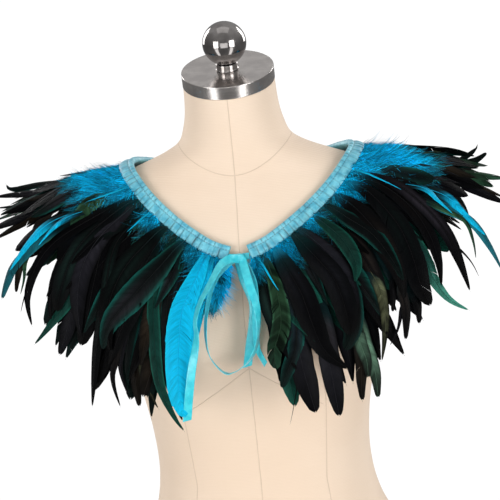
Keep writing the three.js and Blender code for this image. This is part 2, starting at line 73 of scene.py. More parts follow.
BUST = {"apart": 76, "height": 376, "swell": 27, "across": 44, "above": 60, "below": 36}
FORM_SIDES = 240
FORM_STEPS = 230

# Cap on the neck, with the gap between its parts.
CAP = {"radius": 50, "thick": 14.3}
COLLAR = {"radius": 12, "foot": 12.6, "height": 7.6}
BALL = {"radius": 23.6}
SEAM_GAP = 0.3

# Neckline on the wearer's left, centre front to centre back: x, y, z, height over the form, direction of a
# feather at its root, direction at its tip, and its reach.
NECKLINE = [
    (11, -84, 473, 1, 0.1, -0.5, -0.86, 0.1, 0, -1, 0.86),
    (34, -82, 483, 1, 0.24, -0.48, -0.84, 0.19, -0.04, -0.98, 0.97),
    (66, -74, 506, 1, 0.46, -0.48, -0.74, 0.26, -0.1, -0.96, 1),
    (94.5, -58, 529.5, 1.5, 0.7, -0.46, -0.55, 0.4, -0.12, -0.91, 1),
    (115, -34, 550, 3, 0.86, -0.33, -0.36, 0.62, -0.12, -0.77, 1),
    (125, 2, 562, 5, 0.98, -0.02, -0.17, 0.92, 0, -0.4, 0.86),
    (115, 38, 555, 3.5, 0.87, 0.38, -0.3, 0.66, 0.2, -0.72, 0.97),
    (86, 66, 544, 1.5, 0.62, 0.62, -0.48, 0.4, 0.22, -0.89, 1),
    (45, 84, 535, 1, 0.3, 0.68, -0.66, 0.18, 0.16, -0.97, 1),
    (0, 90, 531, 1, 0, 0.68, -0.73, 0, 0.14, -0.99, 1),
]
# The cape is worn a little to the wearer's left: how far, and over which share of the neckline that grows.
WORN_SHIFT = 5
WORN_OVER = 0.4
# Where the feathers are longer or shorter: side, t, spread and the change in their reach.
SIDE_REACH = [(-1, 0.2, 0.07, 0.13), (-1, 0.36, 0.07, -0.06), (1, 0.33, 0.1, -0.15)]
# Where the rows lie lower, on the top of the shoulder, and where they are shorter, before it: t and spread.
SHOULDER_TOP = (0.53, 0.09)
SHOULDER_FRONT = (0.42, 0.09)
# How far the feathers beside the centre front sweep aside, over which share of the neckline, and from and to
# which distance down.
SWEEP = {"left": 4, "right": 34, "over": 0.16, "from": 30, "to": 190}
BAND = {"width": 16, "thick": 6.4, "lift": 0.5}
# Rows of feathers, from the lowest: name, length and number on a side; and stretches of the neckline.
ROWS = [("under", 196, 26), ("middle", 178, 25), ("top", 152, 24)]
STRETCHES = [("front", 0, 0.36), ("shoulder", 0.36, 0.654), ("back", 0.654, 1)]
# Height of the lowest strip of tape over the form, and from one strip to the next.
STRIP_FIRST = 2.45
STRIP_PITCH = 1.1
# Down the fan, the feathers leave the strip straight, turn to their root's direction and fall to their tip's.
FAN = {"straight": 8.5, "turned": 32, "fallen": 200, "step": 4}
# How far rows and every second feather rise apart, from and to which distance down, and the gap over the
# form.
LEVELS = {"row": 4.5, "odd": 2.5, "from": 9, "to": 58, "over_form": 2.5}

# The ribbon's width and thickness as drawn, in millimetres.
RIBBON_WIDTH = 9
RIBBON_THICK = 0.5
# Ribbon paths: x, y, z of the ribbon's middle, and the angle of its face from facing the front.
TIE_PATHS = {
    "tie_loop": [
        (-3.6, -92.6, 467.4, 70), (-7, -93, 466.5, 70), (-16, -100, 461.5, 66), (-24, -111, 454.5, 60),
        (-31, -123, 441, 60), (-37, -139, 415, 66), (-37.5, -146, 388, 74), (-32, -139, 369, 82),
        (-20, -134, 356, 84), (-4, -131, 361, 76), (9, -130, 375, 64), (16, -129, 397, 72),
        (16.5, -126, 422, 44), (10.5, -117, 444, 14), (4.2, -97.6, 464.5, 0), (2.6, -94.2, 467.6, 0),
    ],
    "tie_tail_centre": [
        (-0.4, -92.6, 466.8, 0), (0, -93, 462.3, 0), (3.5, -101, 447, 10), (11.5, -109, 424, 12),
        (9.5, -112, 402, 6), (5, -114, 382, 0), (0, -115, 357, -4),
    ],
    "tie_tail_left": [
        (4.2, -91.6, 466.6, 60), (7.4, -91.4, 463.6, 64), (14.5, -107.5, 446, 44), (14.5, -119, 422, 30),
        (13, -120, 398, 30), (12.5, -121, 378, 40), (20, -123, 360, 46),
    ],
    "tie_tail_right": [
        (1.6, -94.4, 469.2, 0), (-2, -96.4, 470, 4), (-9, -102.5, 471.5, 20), (-19, -113, 467, 42),
        (-30, -129, 452, 56), (-40, -143.5, 437, 62), (-46.5, -150.5, 420, 62), (-46.5, -153.5, 404, 52),
        (-49, -155, 390, 34), (-54.5, -157, 369, 14), (-60, -157, 342, 2), (-65, -154, 314, 0),
    ],
}
KNOT = {"x": 0, "y": -92.4, "z": 469, "width": 11, "depth": 6, "height": 11}
BRIDGE = {"y": -88.5, "z": 470.5, "height": 7, "thick": 0.6, "sag": 0.7, "end_gap": 0.2}

# Camera: the centre of the neck-base seam shows at this pixel of a 500 pixel picture.
CAMERA = {"target": (0, -48, 550), "away": 2200, "azimuth": 4.8, "elevation": 10, "roll": 5.45}
CAMERA_PIXEL = (234.7, 175.6)
CAMERA_FOCAL = 2060
PICTURE = 500


def spline(rows, place):
    """Catmull-Rom through the rows of a table; place counts rows from the first."""
    rows = np.asarray(rows, float)
    place = np.asarray(place, float)
    last = len(rows) - 1
    i = np.clip(np.floor(place).astype(int), 0, last - 1)
    f = (place - i)[..., None]
    a, b, c, d = (rows[np.clip(i + k, 0, last)] for k in (-1, 0, 1, 2))
    return b + 0.5 * f * (c - a + f * (2 * a - 5 * b + 4 * c - d + f * (3 * (b - c) + d - a)))


def ease(x):
    f = np.clip(x, 0, 1)
    return f * f * (3 - 2 * f)


def unit(v):
    return v / np.maximum(np.linalg.norm(v, axis=-1, keepdims=True), 1e-12)


def linear(code):
    """A colour such as 18a9cf in linear light."""
    parts = np.array([int(code[k : k + 2], 16) / 255 for k in (0, 2, 4)])
    return np.where(parts <= 0.04045, parts / 12.92, ((parts + 0.055) / 1.055) ** 2.4)


def blend(share, a, b):
    """From a where the share is 0 to b where it is 1."""
    return a * (1 - share) + b * share


def bell(x, at, spread):
    """1 at one place and falling smoothly to 0 on both sides of it."""
    return np.exp(-(((x - at) / spread) ** 2))


def square_to(v, axis):
    """The direction of the part of v that lies at right angles to an axis."""
    return unit(v - axis * np.sum(v * axis, axis=-1, keepdims=True))


def power(x, exponent):
    return np.sign(x) * np.abs(x) ** exponent


def distances(points):
    """How far each point lies from the first one, measured along them all."""
    return np.concatenate([[0], np.cumsum(np.linalg.norm(np.diff(points, axis=0), axis=1))])


# Dress form as a height field

RING_TABLE = spline(FORM_RINGS, np.linspace(0, len(FORM_RINGS) - 1, 2101))


def bust_swell(x, z):
    tall = np.where(z > BUST["height"], BUST["above"], BUST["below"])
    rise = bell(z, BUST["height"], tall)
    return BUST["swell"] * rise * bell(np.abs(x), BUST["apart"], BUST["across"])


def form_value(p):
    """Over 0 outside the form and under 0 inside it."""
    x, y, z = p[..., 0], p[..., 1], p[..., 2]
    heights = RING_TABLE[:, 0]
    middle, half, front, back, square = (np.interp(z, heights, RING_TABLE[:, k]) for k in range(1, 6))
    depth = np.where(y < middle, front + bust_swell(x, z), back)
    wide = (np.abs(x) / half) ** square
    deep = (np.abs(y - middle) / depth) ** square
    return (wide + deep) ** (1 / square) - 1


def form_slope(p, h=0.5):
    slope = []
    for axis in np.eye(3):
        slope.append((form_value(p + h * axis) - form_value(p - h * axis)) / (2 * h))
    return np.stack(slope, axis=-1)


def form_gap(p):
    slope = form_slope(p)
    size = np.linalg.norm(slope, axis=-1)
    return form_value(p) / np.maximum(size, 0.001), unit(slope)


def laid_on_form(p, gap):
    placed = np.array(p, float)
    for _ in range(6):
        now, normal = form_gap(placed)
        placed = placed + normal * (gap - now)[..., None]
    return placed


def clear_of_form(p, gap, where=True):
    """Moves only the points that lie lower than the gap over the form."""
    placed = np.array(p, float)
    for _ in range(3):
        now, normal = form_gap(placed)
        placed = placed + normal * np.where(where, np.maximum(gap - now, 0), 0)[..., None]
    return placed


# Neckline and the fan of feathers

NECK_SPOTS = spline(NECKLINE, np.linspace(0, len(NECKLINE) - 1, 241))
NECK_LAID = laid_on_form(NECK_SPOTS[:, :3], NECK_SPOTS[:, 3])
NECK_LENGTHS = distances(NECK_LAID)
NECK_TOTAL = NECK_LENGTHS[-1]


def neck_at(t):
    """The neckline's place and row of the table at t, from 0 at the centre front to 1 at the centre back."""
    want = np.clip(t, 0, 1) * NECK_TOTAL
    at = np.stack([np.interp(want, NECK_LENGTHS, NECK_LAID[:, k]) for k in range(3)], axis=-1)
    columns = range(NECK_SPOTS.shape[1])
    row = np.stack([np.interp(want, NECK_LENGTHS, NECK_SPOTS[:, k]) for k in columns], axis=-1)
    return at, row


def band_frame(t, h=0.012):
    """The band's place and row of the table at t, and its axes out of the form and away from the neck."""
    t = np.asarray(t, float)
    at, row = neck_at(t)
    along = neck_at(np.minimum(t + h, 1))[0] - neck_at(np.maximum(t - h, 0))[0]
    along = unit(np.where((t > 1 - h)[..., None], np.array([-1.0, 0, 0]), along))
    out = square_to(form_gap(laid_on_form(at, np.zeros(t.shape)))[1], along)
    return at, row, out, unit(np.cross(along, out))


def sided(p, side, t):
    """Mirrors a point for the wearer's right side, and adds the worn shift to both."""
    shift = WORN_SHIFT * ease(np.asarray(t) / WORN_OVER)
    return np.stack([side * p[..., 0] + shift, p[..., 1], p[..., 2]], axis=-1)


GRID_T = np.linspace(0, 1, 401)
GRID_D = np.arange(0, FAN["fallen"] * 1.3 + FAN["step"], FAN["step"])


def fan_grid(side):
    at, row, out, across = band_frame(GRID_T)
    root = unit(row[:, 4:7])
    tip = unit(row[:, 7:10])
    points = [at + out * STRIP_FIRST]
    for d in GRID_D[:-1]:
        middle = d + FAN["step"] / 2
        turned = ease((middle - FAN["straight"]) / (FAN["turned"] - FAN["straight"]))
        fallen = ease((middle - FAN["turned"]) / (FAN["fallen"] - FAN["turned"]))
        way = across + (root - across) * turned
        way = unit(way + (tip - way) * fallen * turned)
        points.append(points[-1] + way * FAN["step"])
    grid = np.stack(points, axis=1)
    aside = SWEEP["left" if side > 0 else "right"] * (1 - ease(GRID_T / SWEEP["over"]))
    swept = ease((GRID_D - SWEEP["from"]) / (SWEEP["to"] - SWEEP["from"]))
    grid[..., 0] += aside[:, None] * swept[None, :]
    return grid


FAN_GRIDS = {side: fan_grid(side) for side in (-1, 1)}


def fan_point(t, d, side):
    grid = FAN_GRIDS[side]
    i = np.clip(t, 0, 1) * (len(GRID_T) - 1)
    j = np.clip(d / FAN["step"], 0, len(GRID_D) - 1.001)
    i0 = np.clip(np.floor(i).astype(int), 0, len(GRID_T) - 2)
    j0 = np.floor(j).astype(int)
    fi = (i - i0)[..., None]
    fj = (j - j0)[..., None]
    near = blend(fj, grid[i0, j0], grid[i0, j0 + 1])
    return blend(fi, near, blend(fj, grid[i0 + 1, j0], grid[i0 + 1, j0 + 1]))


def fan_frame(t, d, lift, side, h=0.01, step=2):
    """A place on the fan with its axes over a feather's width and out of the cape."""
    down = unit(fan_point(t, d + step, side) - fan_point(t, np.maximum(d - step, 0), side))
    wide = fan_point(np.minimum(t + h, 1), d, side) - fan_point(np.maximum(t - h, 0), d, side)
    wide = square_to(wide, down)
    out = unit(np.cross(down, wide))
    at = fan_point(t, d, side) + out * lift[..., None]
    return clear_of_form(at, LEVELS["over_form"] + lift, d > FAN["turned"]), wide, out


def feather_lift(row, odd, d):
    spread = ease((d - LEVELS["from"]) / (LEVELS["to"] - LEVELS["from"]))
    return STRIP_PITCH * row + (LEVELS["row"] * row + LEVELS["odd"] * odd) * spread


def reach_at(t, side):
    reach = float(neck_at(np.array(t))[1][10])
    for where, at, spread, more in SIDE_REACH:
        if where == side:
            reach += more * bell(t, at, spread)
    return reach


# Mesh and material helpers


def mesh_piece(name, node, points, faces, material, uvs=None, colours=None, vectors=None):
    """A smooth piece from points in millimetres, which stands for a node of the frame, where one is named."""
    points = np.asarray(points).reshape(-1, 3)
    mesh = bpy.data.meshes.new(name)
    mesh.from_pydata((points * MM).tolist(), [], [list(map(int, f)) for f in faces])
    mesh.polygons.foreach_set("use_smooth", [True] * len(mesh.polygons))
    if uvs is not None:
        corners = np.empty(len(mesh.loops), int)
        mesh.loops.foreach_get("vertex_index", corners)
        layer = mesh.uv_layers.new(name="UVMap")
        layer.data.foreach_set("uv", np.asarray(uvs).reshape(-1, 2)[corners].ravel())
    # The colour attribute carries each piece's dye. On the band it also carries painted shade, and on the
    # feathers a painted sheen and painted shade.
    if colours is not None:
        layer = mesh.color_attributes.new("dye_and_shading", "FLOAT_COLOR", "POINT")
        full = np.concatenate([np.asarray(colours).reshape(-1, 3), np.ones((len(points), 1))], axis=1)
        layer.data.foreach_set("color", full.ravel())
    for key, values in (vectors or {}).items():
        layer = mesh.attributes.new(key, "FLOAT_VECTOR", "POINT")
        layer.data.foreach_set("vector", np.asarray(values, float).ravel())
    mesh.materials.append(material)
    mesh.update()
    piece = bpy.data.objects.new(name, mesh)
    bpy.context.scene.collection.objects.link(piece)
    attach(piece, "root")
    if node:
        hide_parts(node)
    return piece


def grid_faces(rows, columns, closed=False, first=0):
    """Quads of a grid of rows by columns of points; closed joins the last column to the first."""
    faces = []
    across = columns if closed else columns - 1
    for j in range(rows - 1):
        for i in range(across):
            a = first + j * columns + i
            b = first + j * columns + (i + 1) % columns
            faces.append((a, b, b + columns, a + columns))
    return faces


def tube_faces(rings, around):
    """Faces of a tube of rings of points, with one face over each end."""
    ends = [tuple(range(around))[::-1], tuple(range((rings - 1) * around, rings * around))]
    return grid_faces(rings, around, closed=True) + ends


class Nodes:
    """Short helpers that make the shader nodes of a material or a world and link them."""

    def __init__(self, owner, shader="Principled BSDF"):
        owner.use_nodes = True
        self.owner = owner
        self.tree = owner.node_tree
        self.shader = self.tree.nodes[shader]

    def make(self, kind, inputs=None, **settings):
        node = self.tree.nodes.new(kind)
        for key, value in settings.items():
            setattr(node, key, value)
        for key, value in (inputs or {}).items():
            self.put(node.inputs[key], value)
        return node

    def put(self, socket, value):
        if isinstance(value, bpy.types.NodeSocket):
            self.tree.links.new(value, socket)
        else:
            socket.default_value = value

    def math(self, operation, a, b=0.0, c=0.0):
        return self.make("ShaderNodeMath", {0: a, 1: b, 2: c}, operation=operation).outputs[0]

    def plus(self, a, b):
        return self.math("ADD", a, b)

    def times(self, a, b):
        return self.math("MULTIPLY", a, b)

    def span(self, value, low, high, to_low=0.0, to_high=1.0, kind="SMOOTHSTEP"):
        """Maps low..high to to_low..to_high."""
        inputs = {"Value": value, "From Min": low, "From Max": high, "To Min": to_low, "To Max": to_high}
        return self.make("ShaderNodeMapRange", inputs, interpolation_type=kind).outputs["Result"]

    def mix(self, share, a, b, blend_type="MIX"):
        """Mixes two colours, each a socket or a code."""
        node = self.make("ShaderNodeMix", data_type="RGBA", blend_type=blend_type)
        for key, value in (("Factor_Float", share), ("A_Color", a), ("B_Color", b)):
            socket = next(s for s in node.inputs if s.identifier == key)
            self.put(socket, rgba(value) if isinstance(value, str) else value)
        return next(s for s in node.outputs if s.identifier == "Result_Color")

    def noise(self, vector, scale, detail=2.0, roughness=0.5):
        inputs = {"Vector": vector, "Scale": scale, "Detail": detail, "Roughness": roughness}
        return self.make("ShaderNodeTexNoise", inputs).outputs["Fac"]

    def scaled(self, vector, scale):
        return self.make("ShaderNodeMapping", {"Vector": vector, "Scale": scale}).outputs["Vector"]

    def place(self, kind="Object"):
        return self.make("ShaderNodeTexCoord").outputs[kind]

    def parts(self, vector):
        return self.make("ShaderNodeSeparateXYZ", {"Vector": vector}).outputs

    def attribute(self, name, kind="Color"):
        return self.make("ShaderNodeAttribute", attribute_name=name).outputs[kind]

    def bump(self, height, distance, strength=1.0):
        inputs = {"Height": height, "Distance": distance, "Strength": strength}
        self.put(self.shader.inputs["Normal"], self.make("ShaderNodeBump", inputs).outputs["Normal"])

    def set(self, **values):
        for key, value in values.items():
            self.put(self.shader.inputs[key.replace("_", " ")], value)
        return self.owner


def material_nodes(name):
    return Nodes(bpy.data.materials.new(name))


def rgba(code):
    return (*linear(code), 1.0)


# Materials


# Threads of the linen: radians for a metre of height, and for a radian round the form.
LINEN_WEFT = 3900.0
LINEN_WARP = 560.0


def linen_material():
    n = material_nodes("form_linen")
    place = n.place()
    x, y, z = n.parts(place)
    weft = n.math("SINE", n.plus(n.times(z, LINEN_WEFT), n.times(n.noise(place, 9.0, 3.0), 6.0)))
    warp = n.math("SINE", n.times(n.math("ARCTAN2", y, x), LINEN_WARP))
    slubs = n.noise(n.scaled(place, (60, 60, 900)), 1.0, 2.0)
    weave = n.plus(n.plus(n.times(weft, 0.6), n.times(warp, 0.25)), n.times(slubs, 1.4))
    line = 0.0
    for name in ("seams", "seams_more"):
        for socket in n.parts(n.attribute(name, "Vector")):
            near = n.span(n.math("ABSOLUTE", socket), 0.1, 0.8, 1.0, 0.0)
            line = n.math("MAXIMUM", line, near)
    colour = n.mix(n.span(n.noise(place, 5.0, 4.0), 0.3, 0.7), "e2ccb6", "ead6c2")
    colour = n.mix(n.span(weave, -0.2, 1.8, 0.0, 0.25), colour, "d2bba2")
    colour = n.mix(n.times(line, 0.4), colour, "b39c86")
    n.bump(n.math("SUBTRACT", n.times(weave, 0.12), line), 0.0006, 0.55)
    return n.set(Base_Color=colour, Roughness=0.88, Sheen_Weight=0.12, Specular_IOR_Level=0.25)


def steel_material():
    n = material_nodes("cap_steel")
    place = n.place()
    brush = n.noise(n.scaled(place, (40, 40, 2600)), 1.0, 3.0)
    colour = n.mix(n.span(n.noise(place, 60.0, 3.0), 0.35, 0.7), "c8c2bf", "ded8d4")
    colour = n.mix(n.span(brush, 0.3, 0.8, 0.0, 0.4), colour, "d6d1cd")
    n.bump(brush, 0.0002, 0.25)
    return n.set(Base_Color=colour, Metallic=1.0, Roughness=n.span(brush, 0.2, 0.8, 0.14, 0.26))


def chrome_material():
    n = material_nodes("ball_chrome")
    place = n.place()
    haze = n.noise(place, 45.0, 4.0)
    fine = n.noise(n.scaled(place, (30, 30, 900)), 1.0, 2.0)
    colour = n.mix(n.span(haze, 0.3, 0.7), "7f7b79", "a8a4a2")
    rough = n.plus(n.span(haze, 0.3, 0.75, 0.06, 0.16), n.times(fine, 0.05))
    return n.set(Base_Color=colour, Metallic=1.0, Roughness=rough)


def satin_material(name, dark, middle, light, rough, creased=False):
    """Satin: UV runs along the ribbon in millimetres, then across it."""
    n = material_nodes(name)
    uv = n.place("UV")
    threads = n.noise(n.scaled(uv, (0.25, 5.0, 1.0)), 1.0, 2.0)
    colour = n.mix(n.span(n.noise(uv, 0.12, 3.0), 0.3, 0.7), middle, light)
    colour = n.mix(n.span(threads, 0.3, 0.75, 0.0, 0.3), colour, dark)
    # On the band the colour is multiplied by painted shade in the tuck dips and creases, and by the darker
    # stitching.
    if creased:
        colour = n.mix(1.0, colour, n.attribute("dye_and_shading"), "MULTIPLY")
    fine = n.noise(n.scaled(uv, (6.0, 1.5, 1.0)), 1.0, 1.0)
    n.bump(n.plus(fine, n.times(threads, 0.6)), 0.00012, 0.35)
    n.set(Sheen_Weight=0.25, Anisotropic=0.4, Specular_IOR_Level=0.6)
    return n.set(Base_Color=colour, Roughness=n.span(threads, 0.2, 0.8, rough, rough + 0.12))


def feather_material():
    """Barbs: UV runs down the quill in barbs, then out over the vane from 0 to 1."""
    n = material_nodes("feather")
    uv = n.place("UV")
    barbs = n.times(n.math("SINE", n.times(n.parts(uv)["X"], 10.4)), 0.12)
    tufts = n.noise(n.scaled(uv, (0.9, 1.2, 1.0)), 1.0, 3.0)
    height = n.plus(barbs, tufts)
    # Painted light and shade: the colour is lighter where the bump stands high on the barbs and tufts, and
    # darker between them.
    shade = n.span(height, 0.2, 1.0, 0.7, 1.3)
    relief_shading = n.make("ShaderNodeCombineColor", {0: shade, 1: shade, 2: shade}).outputs[0]
    n.bump(height, 0.0004, 0.4)
    colour = n.mix(1.0, n.attribute("dye_and_shading"), relief_shading, "MULTIPLY")
    rough = n.span(tufts, 0.3, 0.8, 0.3, 0.5)
    return n.set(Base_Color=colour, Roughness=rough, Sheen_Weight=0.0, Specular_IOR_Level=0.03)


def down_material():
    n = material_nodes("feather_down")
    patches = n.noise(n.place(), 90.0, 3.0)
    colour = n.mix(n.span(patches, 0.3, 0.75, 0.0, 0.25), n.attribute("dye_and_shading"), "05343f")
    return n.set(Base_Color=colour, Roughness=0.75, Sheen_Weight=0.0, Specular_IOR_Level=0.05)


LINEN = linen_material()
STEEL = steel_material()
CHROME = chrome_material()
BAND_SATIN = satin_material("band_satin", "1c7592", "43a6c0", "7ed2e2", 0.32, creased=True)
RIBBON_SATIN = satin_material("ribbon_satin", "0c95a8", "1cbed0", "46d9e4", 0.26)
FEATHER = feather_material()
DOWN = down_material()


# Dress form


NO_SEAM = 30.0


def make_form():
    """The cover, with each point's distance from the lines of its seams."""
    place = np.linspace(0, len(FORM_RINGS) - 1, FORM_STEPS)
    z, middle, half, front, back, square, lean = spline(FORM_RINGS, place).T[:, :, None]
    angle = (np.arange(FORM_SIDES) * 2 * math.pi / FORM_SIDES)[None, :]
    c, s = np.cos(angle), np.sin(angle)
    x = half * power(c, 2 / square)
    y = np.where(s < 0, front + bust_swell(x, z), back) * power(s, 2 / square)
    tip = np.radians(lean)
    points = np.stack([x, middle + y * np.cos(tip), z + y * np.sin(tip)], axis=-1)
    faces = grid_faces(FORM_STEPS, FORM_SIDES, closed=True)
    low = FORM_STEPS * FORM_SIDES
    flat = np.concatenate([points.reshape(-1, 3), [points[0].mean(axis=0), points[-1].mean(axis=0)]])
    for i in range(FORM_SIDES):
        j = (i + 1) % FORM_SIDES
        faces.append((j, i, low))
        faces.append((low - FORM_SIDES + i, low - FORM_SIDES + j, low + 1))
    x, y, z = flat.T
    wide = np.abs(x)
    neck = z - np.where(y < 1.5, 550 + 33 * (wide / 62) ** 1.9, 584)
    princess = np.interp(z, [0, 110, 215, 305, 376, 440, 500, 560], [86, 82, 71, 78, 76, 80, 96, 120])
    panel = np.where(z > 556, NO_SEAM, wide - np.where(y < 0, princess, princess * 0.78))
    under_bust = np.where((wide > 77) | (y > 0), NO_SEAM, (z - 350 + 0.67 * wide) / 1.2)
    side_seam = np.where(z > 560, NO_SEAM, y - 4)
    seams = np.stack([x, neck, panel], axis=-1)
    more = np.stack([side_seam, under_bust, np.full(len(flat), NO_SEAM)], axis=-1)
    vectors = {"seams": seams, "seams_more": more}
    mesh_piece("form_skin", "dress_form", flat, faces, LINEN, vectors=vectors)


def turned(name, node, slot, profile, lift, material, sides=96):
    """A turned piece on the neck's leaning axis, from radii and heights in order up the outside."""
    z, y, _, _, _, _, lean = FORM_RINGS[-1]
    tip = math.radians(lean)
    axis = np.array([0, -math.sin(tip), math.cos(tip)])
    ahead = np.array([0, math.cos(tip), math.sin(tip)])
    foot = np.array([0, y, z]) + axis * lift
    angle = np.arange(sides) * 2 * math.pi / sides
    rings = []
    for radius, height in profile:
        around = np.outer(np.cos(angle) * radius, [1, 0, 0]) + np.outer(np.sin(angle) * radius, ahead)
        rings.append(foot + axis * height + around)
    mesh_piece(name, node, np.concatenate(rings), tube_faces(len(rings), sides), material)


def rounded(corners, radius, steps=4):
    """Rounds the inner corners of a profile of radii and heights."""
    made = [corners[0]]
    for before, at, after in zip(corners, corners[1:], corners[2:]):
        before, at, after = (np.array(c, float) for c in (before, at, after))
        a = at + unit(before - at) * min(radius, np.linalg.norm(before - at) / 2)
        b = at + unit(after - at) * min(radius, np.linalg.norm(after - at) / 2)
        made.append(a + (a - at) * 0.3)
        for f in np.linspace(0, 1, steps + 1):
            made.append(a * (1 - f) ** 2 + 2 * at * f * (1 - f) + b * f**2)
        made.append(b + (b - at) * 0.3)
    made.append(corners[-1])
    return made


def make_cap():
    r, h = CAP["radius"], CAP["thick"]
    disc = rounded([(1, 0), (r, 0), (r, h), (r - 0.7, h), (1, h)], 0.6)
    turned("cap_disc", "neck_cap", "cap_steel", disc, SEAM_GAP, STEEL)
    r, foot, h = COLLAR["radius"], COLLAR["foot"], COLLAR["height"]
    collar = rounded([(1, 0), (foot, 0), (foot, 1.1), (r, 1.6), (r, h - 0.7), (r - 0.8, h), (1, h)], 0.4, 3)
    turned("cap_neck", "cap_collar", "ball_chrome", collar, 2 * SEAM_GAP + CAP["thick"], CHROME)
    seat = COLLAR["radius"] - 2
    r = BALL["radius"]
    low = -math.acos(seat / r)
    ball = [(1, r * math.sin(low))]
    for angle in np.linspace(low, math.pi / 2 - 0.02, 60):
        ball.append((r * math.cos(angle), r * math.sin(angle)))
    lift = 3 * SEAM_GAP + CAP["thick"] + COLLAR["height"] - r * math.sin(low)
    turned("cap_knob", "cap_ball", "ball_chrome", ball, lift, CHROME)


# Band

# Creases placed in the front of the band: side, t, breadth and depth, and where across they run from
# and to, all in millimetres but t.
BAND_CREASES = [
    (-1, 0.03, 1.6, 0.7, -2, 8), (-1, 0.085, 1.1, 0.5, 1, 8), (-1, 0.11, 2.0, 0.6, -8, 4),
    (-1, 0.16, 1.2, 0.8, -1, 8), (-1, 0.205, 1.5, 0.4, -8, 0), (-1, 0.26, 1.8, 0.7, 0, 8),
    (-1, 0.3, 1.0, 0.5, -6, 6), (-1, 0.36, 2.2, 0.6, 2, 8), (1, 0.02, 1.3, 0.6, -8, 3),
    (1, 0.06, 1.9, 0.8, 0, 8), (1, 0.12, 1.1, 0.4, -4, 8), (1, 0.15, 1.6, 0.6, 2, 8),
    (1, 0.215, 2.1, 0.7, -8, 1), (1, 0.25, 1.2, 0.5, -1, 8), (1, 0.31, 1.7, 0.8, 1, 8),
    (1, 0.35, 1.0, 0.4, -8, 5),
]
# Creases of the ribbon: share of the length, slant, breadth and depth.
RIBBON_CREASES = {
    "tie_loop": [(0.05, 2.5, 1.8, 0.5), (0.13, -1.5, 1.4, 0.3), (0.52, 3.0, 2.4, 0.5), (0.9, -2.5, 1.6, 0.6)],
    "tie_tail_left": [(0.1, 2.0, 1.5, 0.5), (0.42, -3.0, 2.2, 0.4), (0.8, 1.5, 1.6, 0.3)],
    "tie_tail_centre": [(0.08, -2.0, 1.4, 0.5), (0.55, 2.5, 2.0, 0.3)],
    "tie_tail_right": [
        (0.07, 2.5, 1.6, 0.6), (0.3, -2.0, 2.2, 0.3), (0.66, 3.0, 1.8, 0.4), (0.86, -1.5, 1.4, 0.3),
    ],
}


# Distance between tucks on the wide and on the narrow part of the band, least and most; the row of
# stitching; and how many rings the band has.
WIDE_TUCKS = (4.5, 9.5)
NARROW_TUCKS = (4.0, 8.5)
STITCH = {"at": -2.6, "half": 0.5, "pitch": 2.9}
BAND_RINGS = 1200


def tuck_rows(rng, total, low, high):
    """Places, heights and widths of the tucks along the band."""
    tucks = []
    at = 0.0
    while at < total:
        at += rng.uniform(low, high)
        tucks.append((at, rng.uniform(0.35, 1.0), rng.uniform(1.1, 2.1)))
    return np.array(tucks)


def tucked(s, tucks):
    """The gathered face at s, where each tuck is a ridge with a dip beside it, and how deep the dips are
    there, which is painted as shade.
    """
    places, heights, widths = tucks.T[:, None, :]
    x = (s[:, None] - places) / widths
    beside = (x - 1.1) ** 2
    ridges = np.sum(heights * (np.exp(-(x**2)) - 0.9 * np.exp(-beside * 5)), axis=1)
    return ridges, np.clip(np.sum(heights * np.exp(-beside * 7), axis=1), 0, 1)


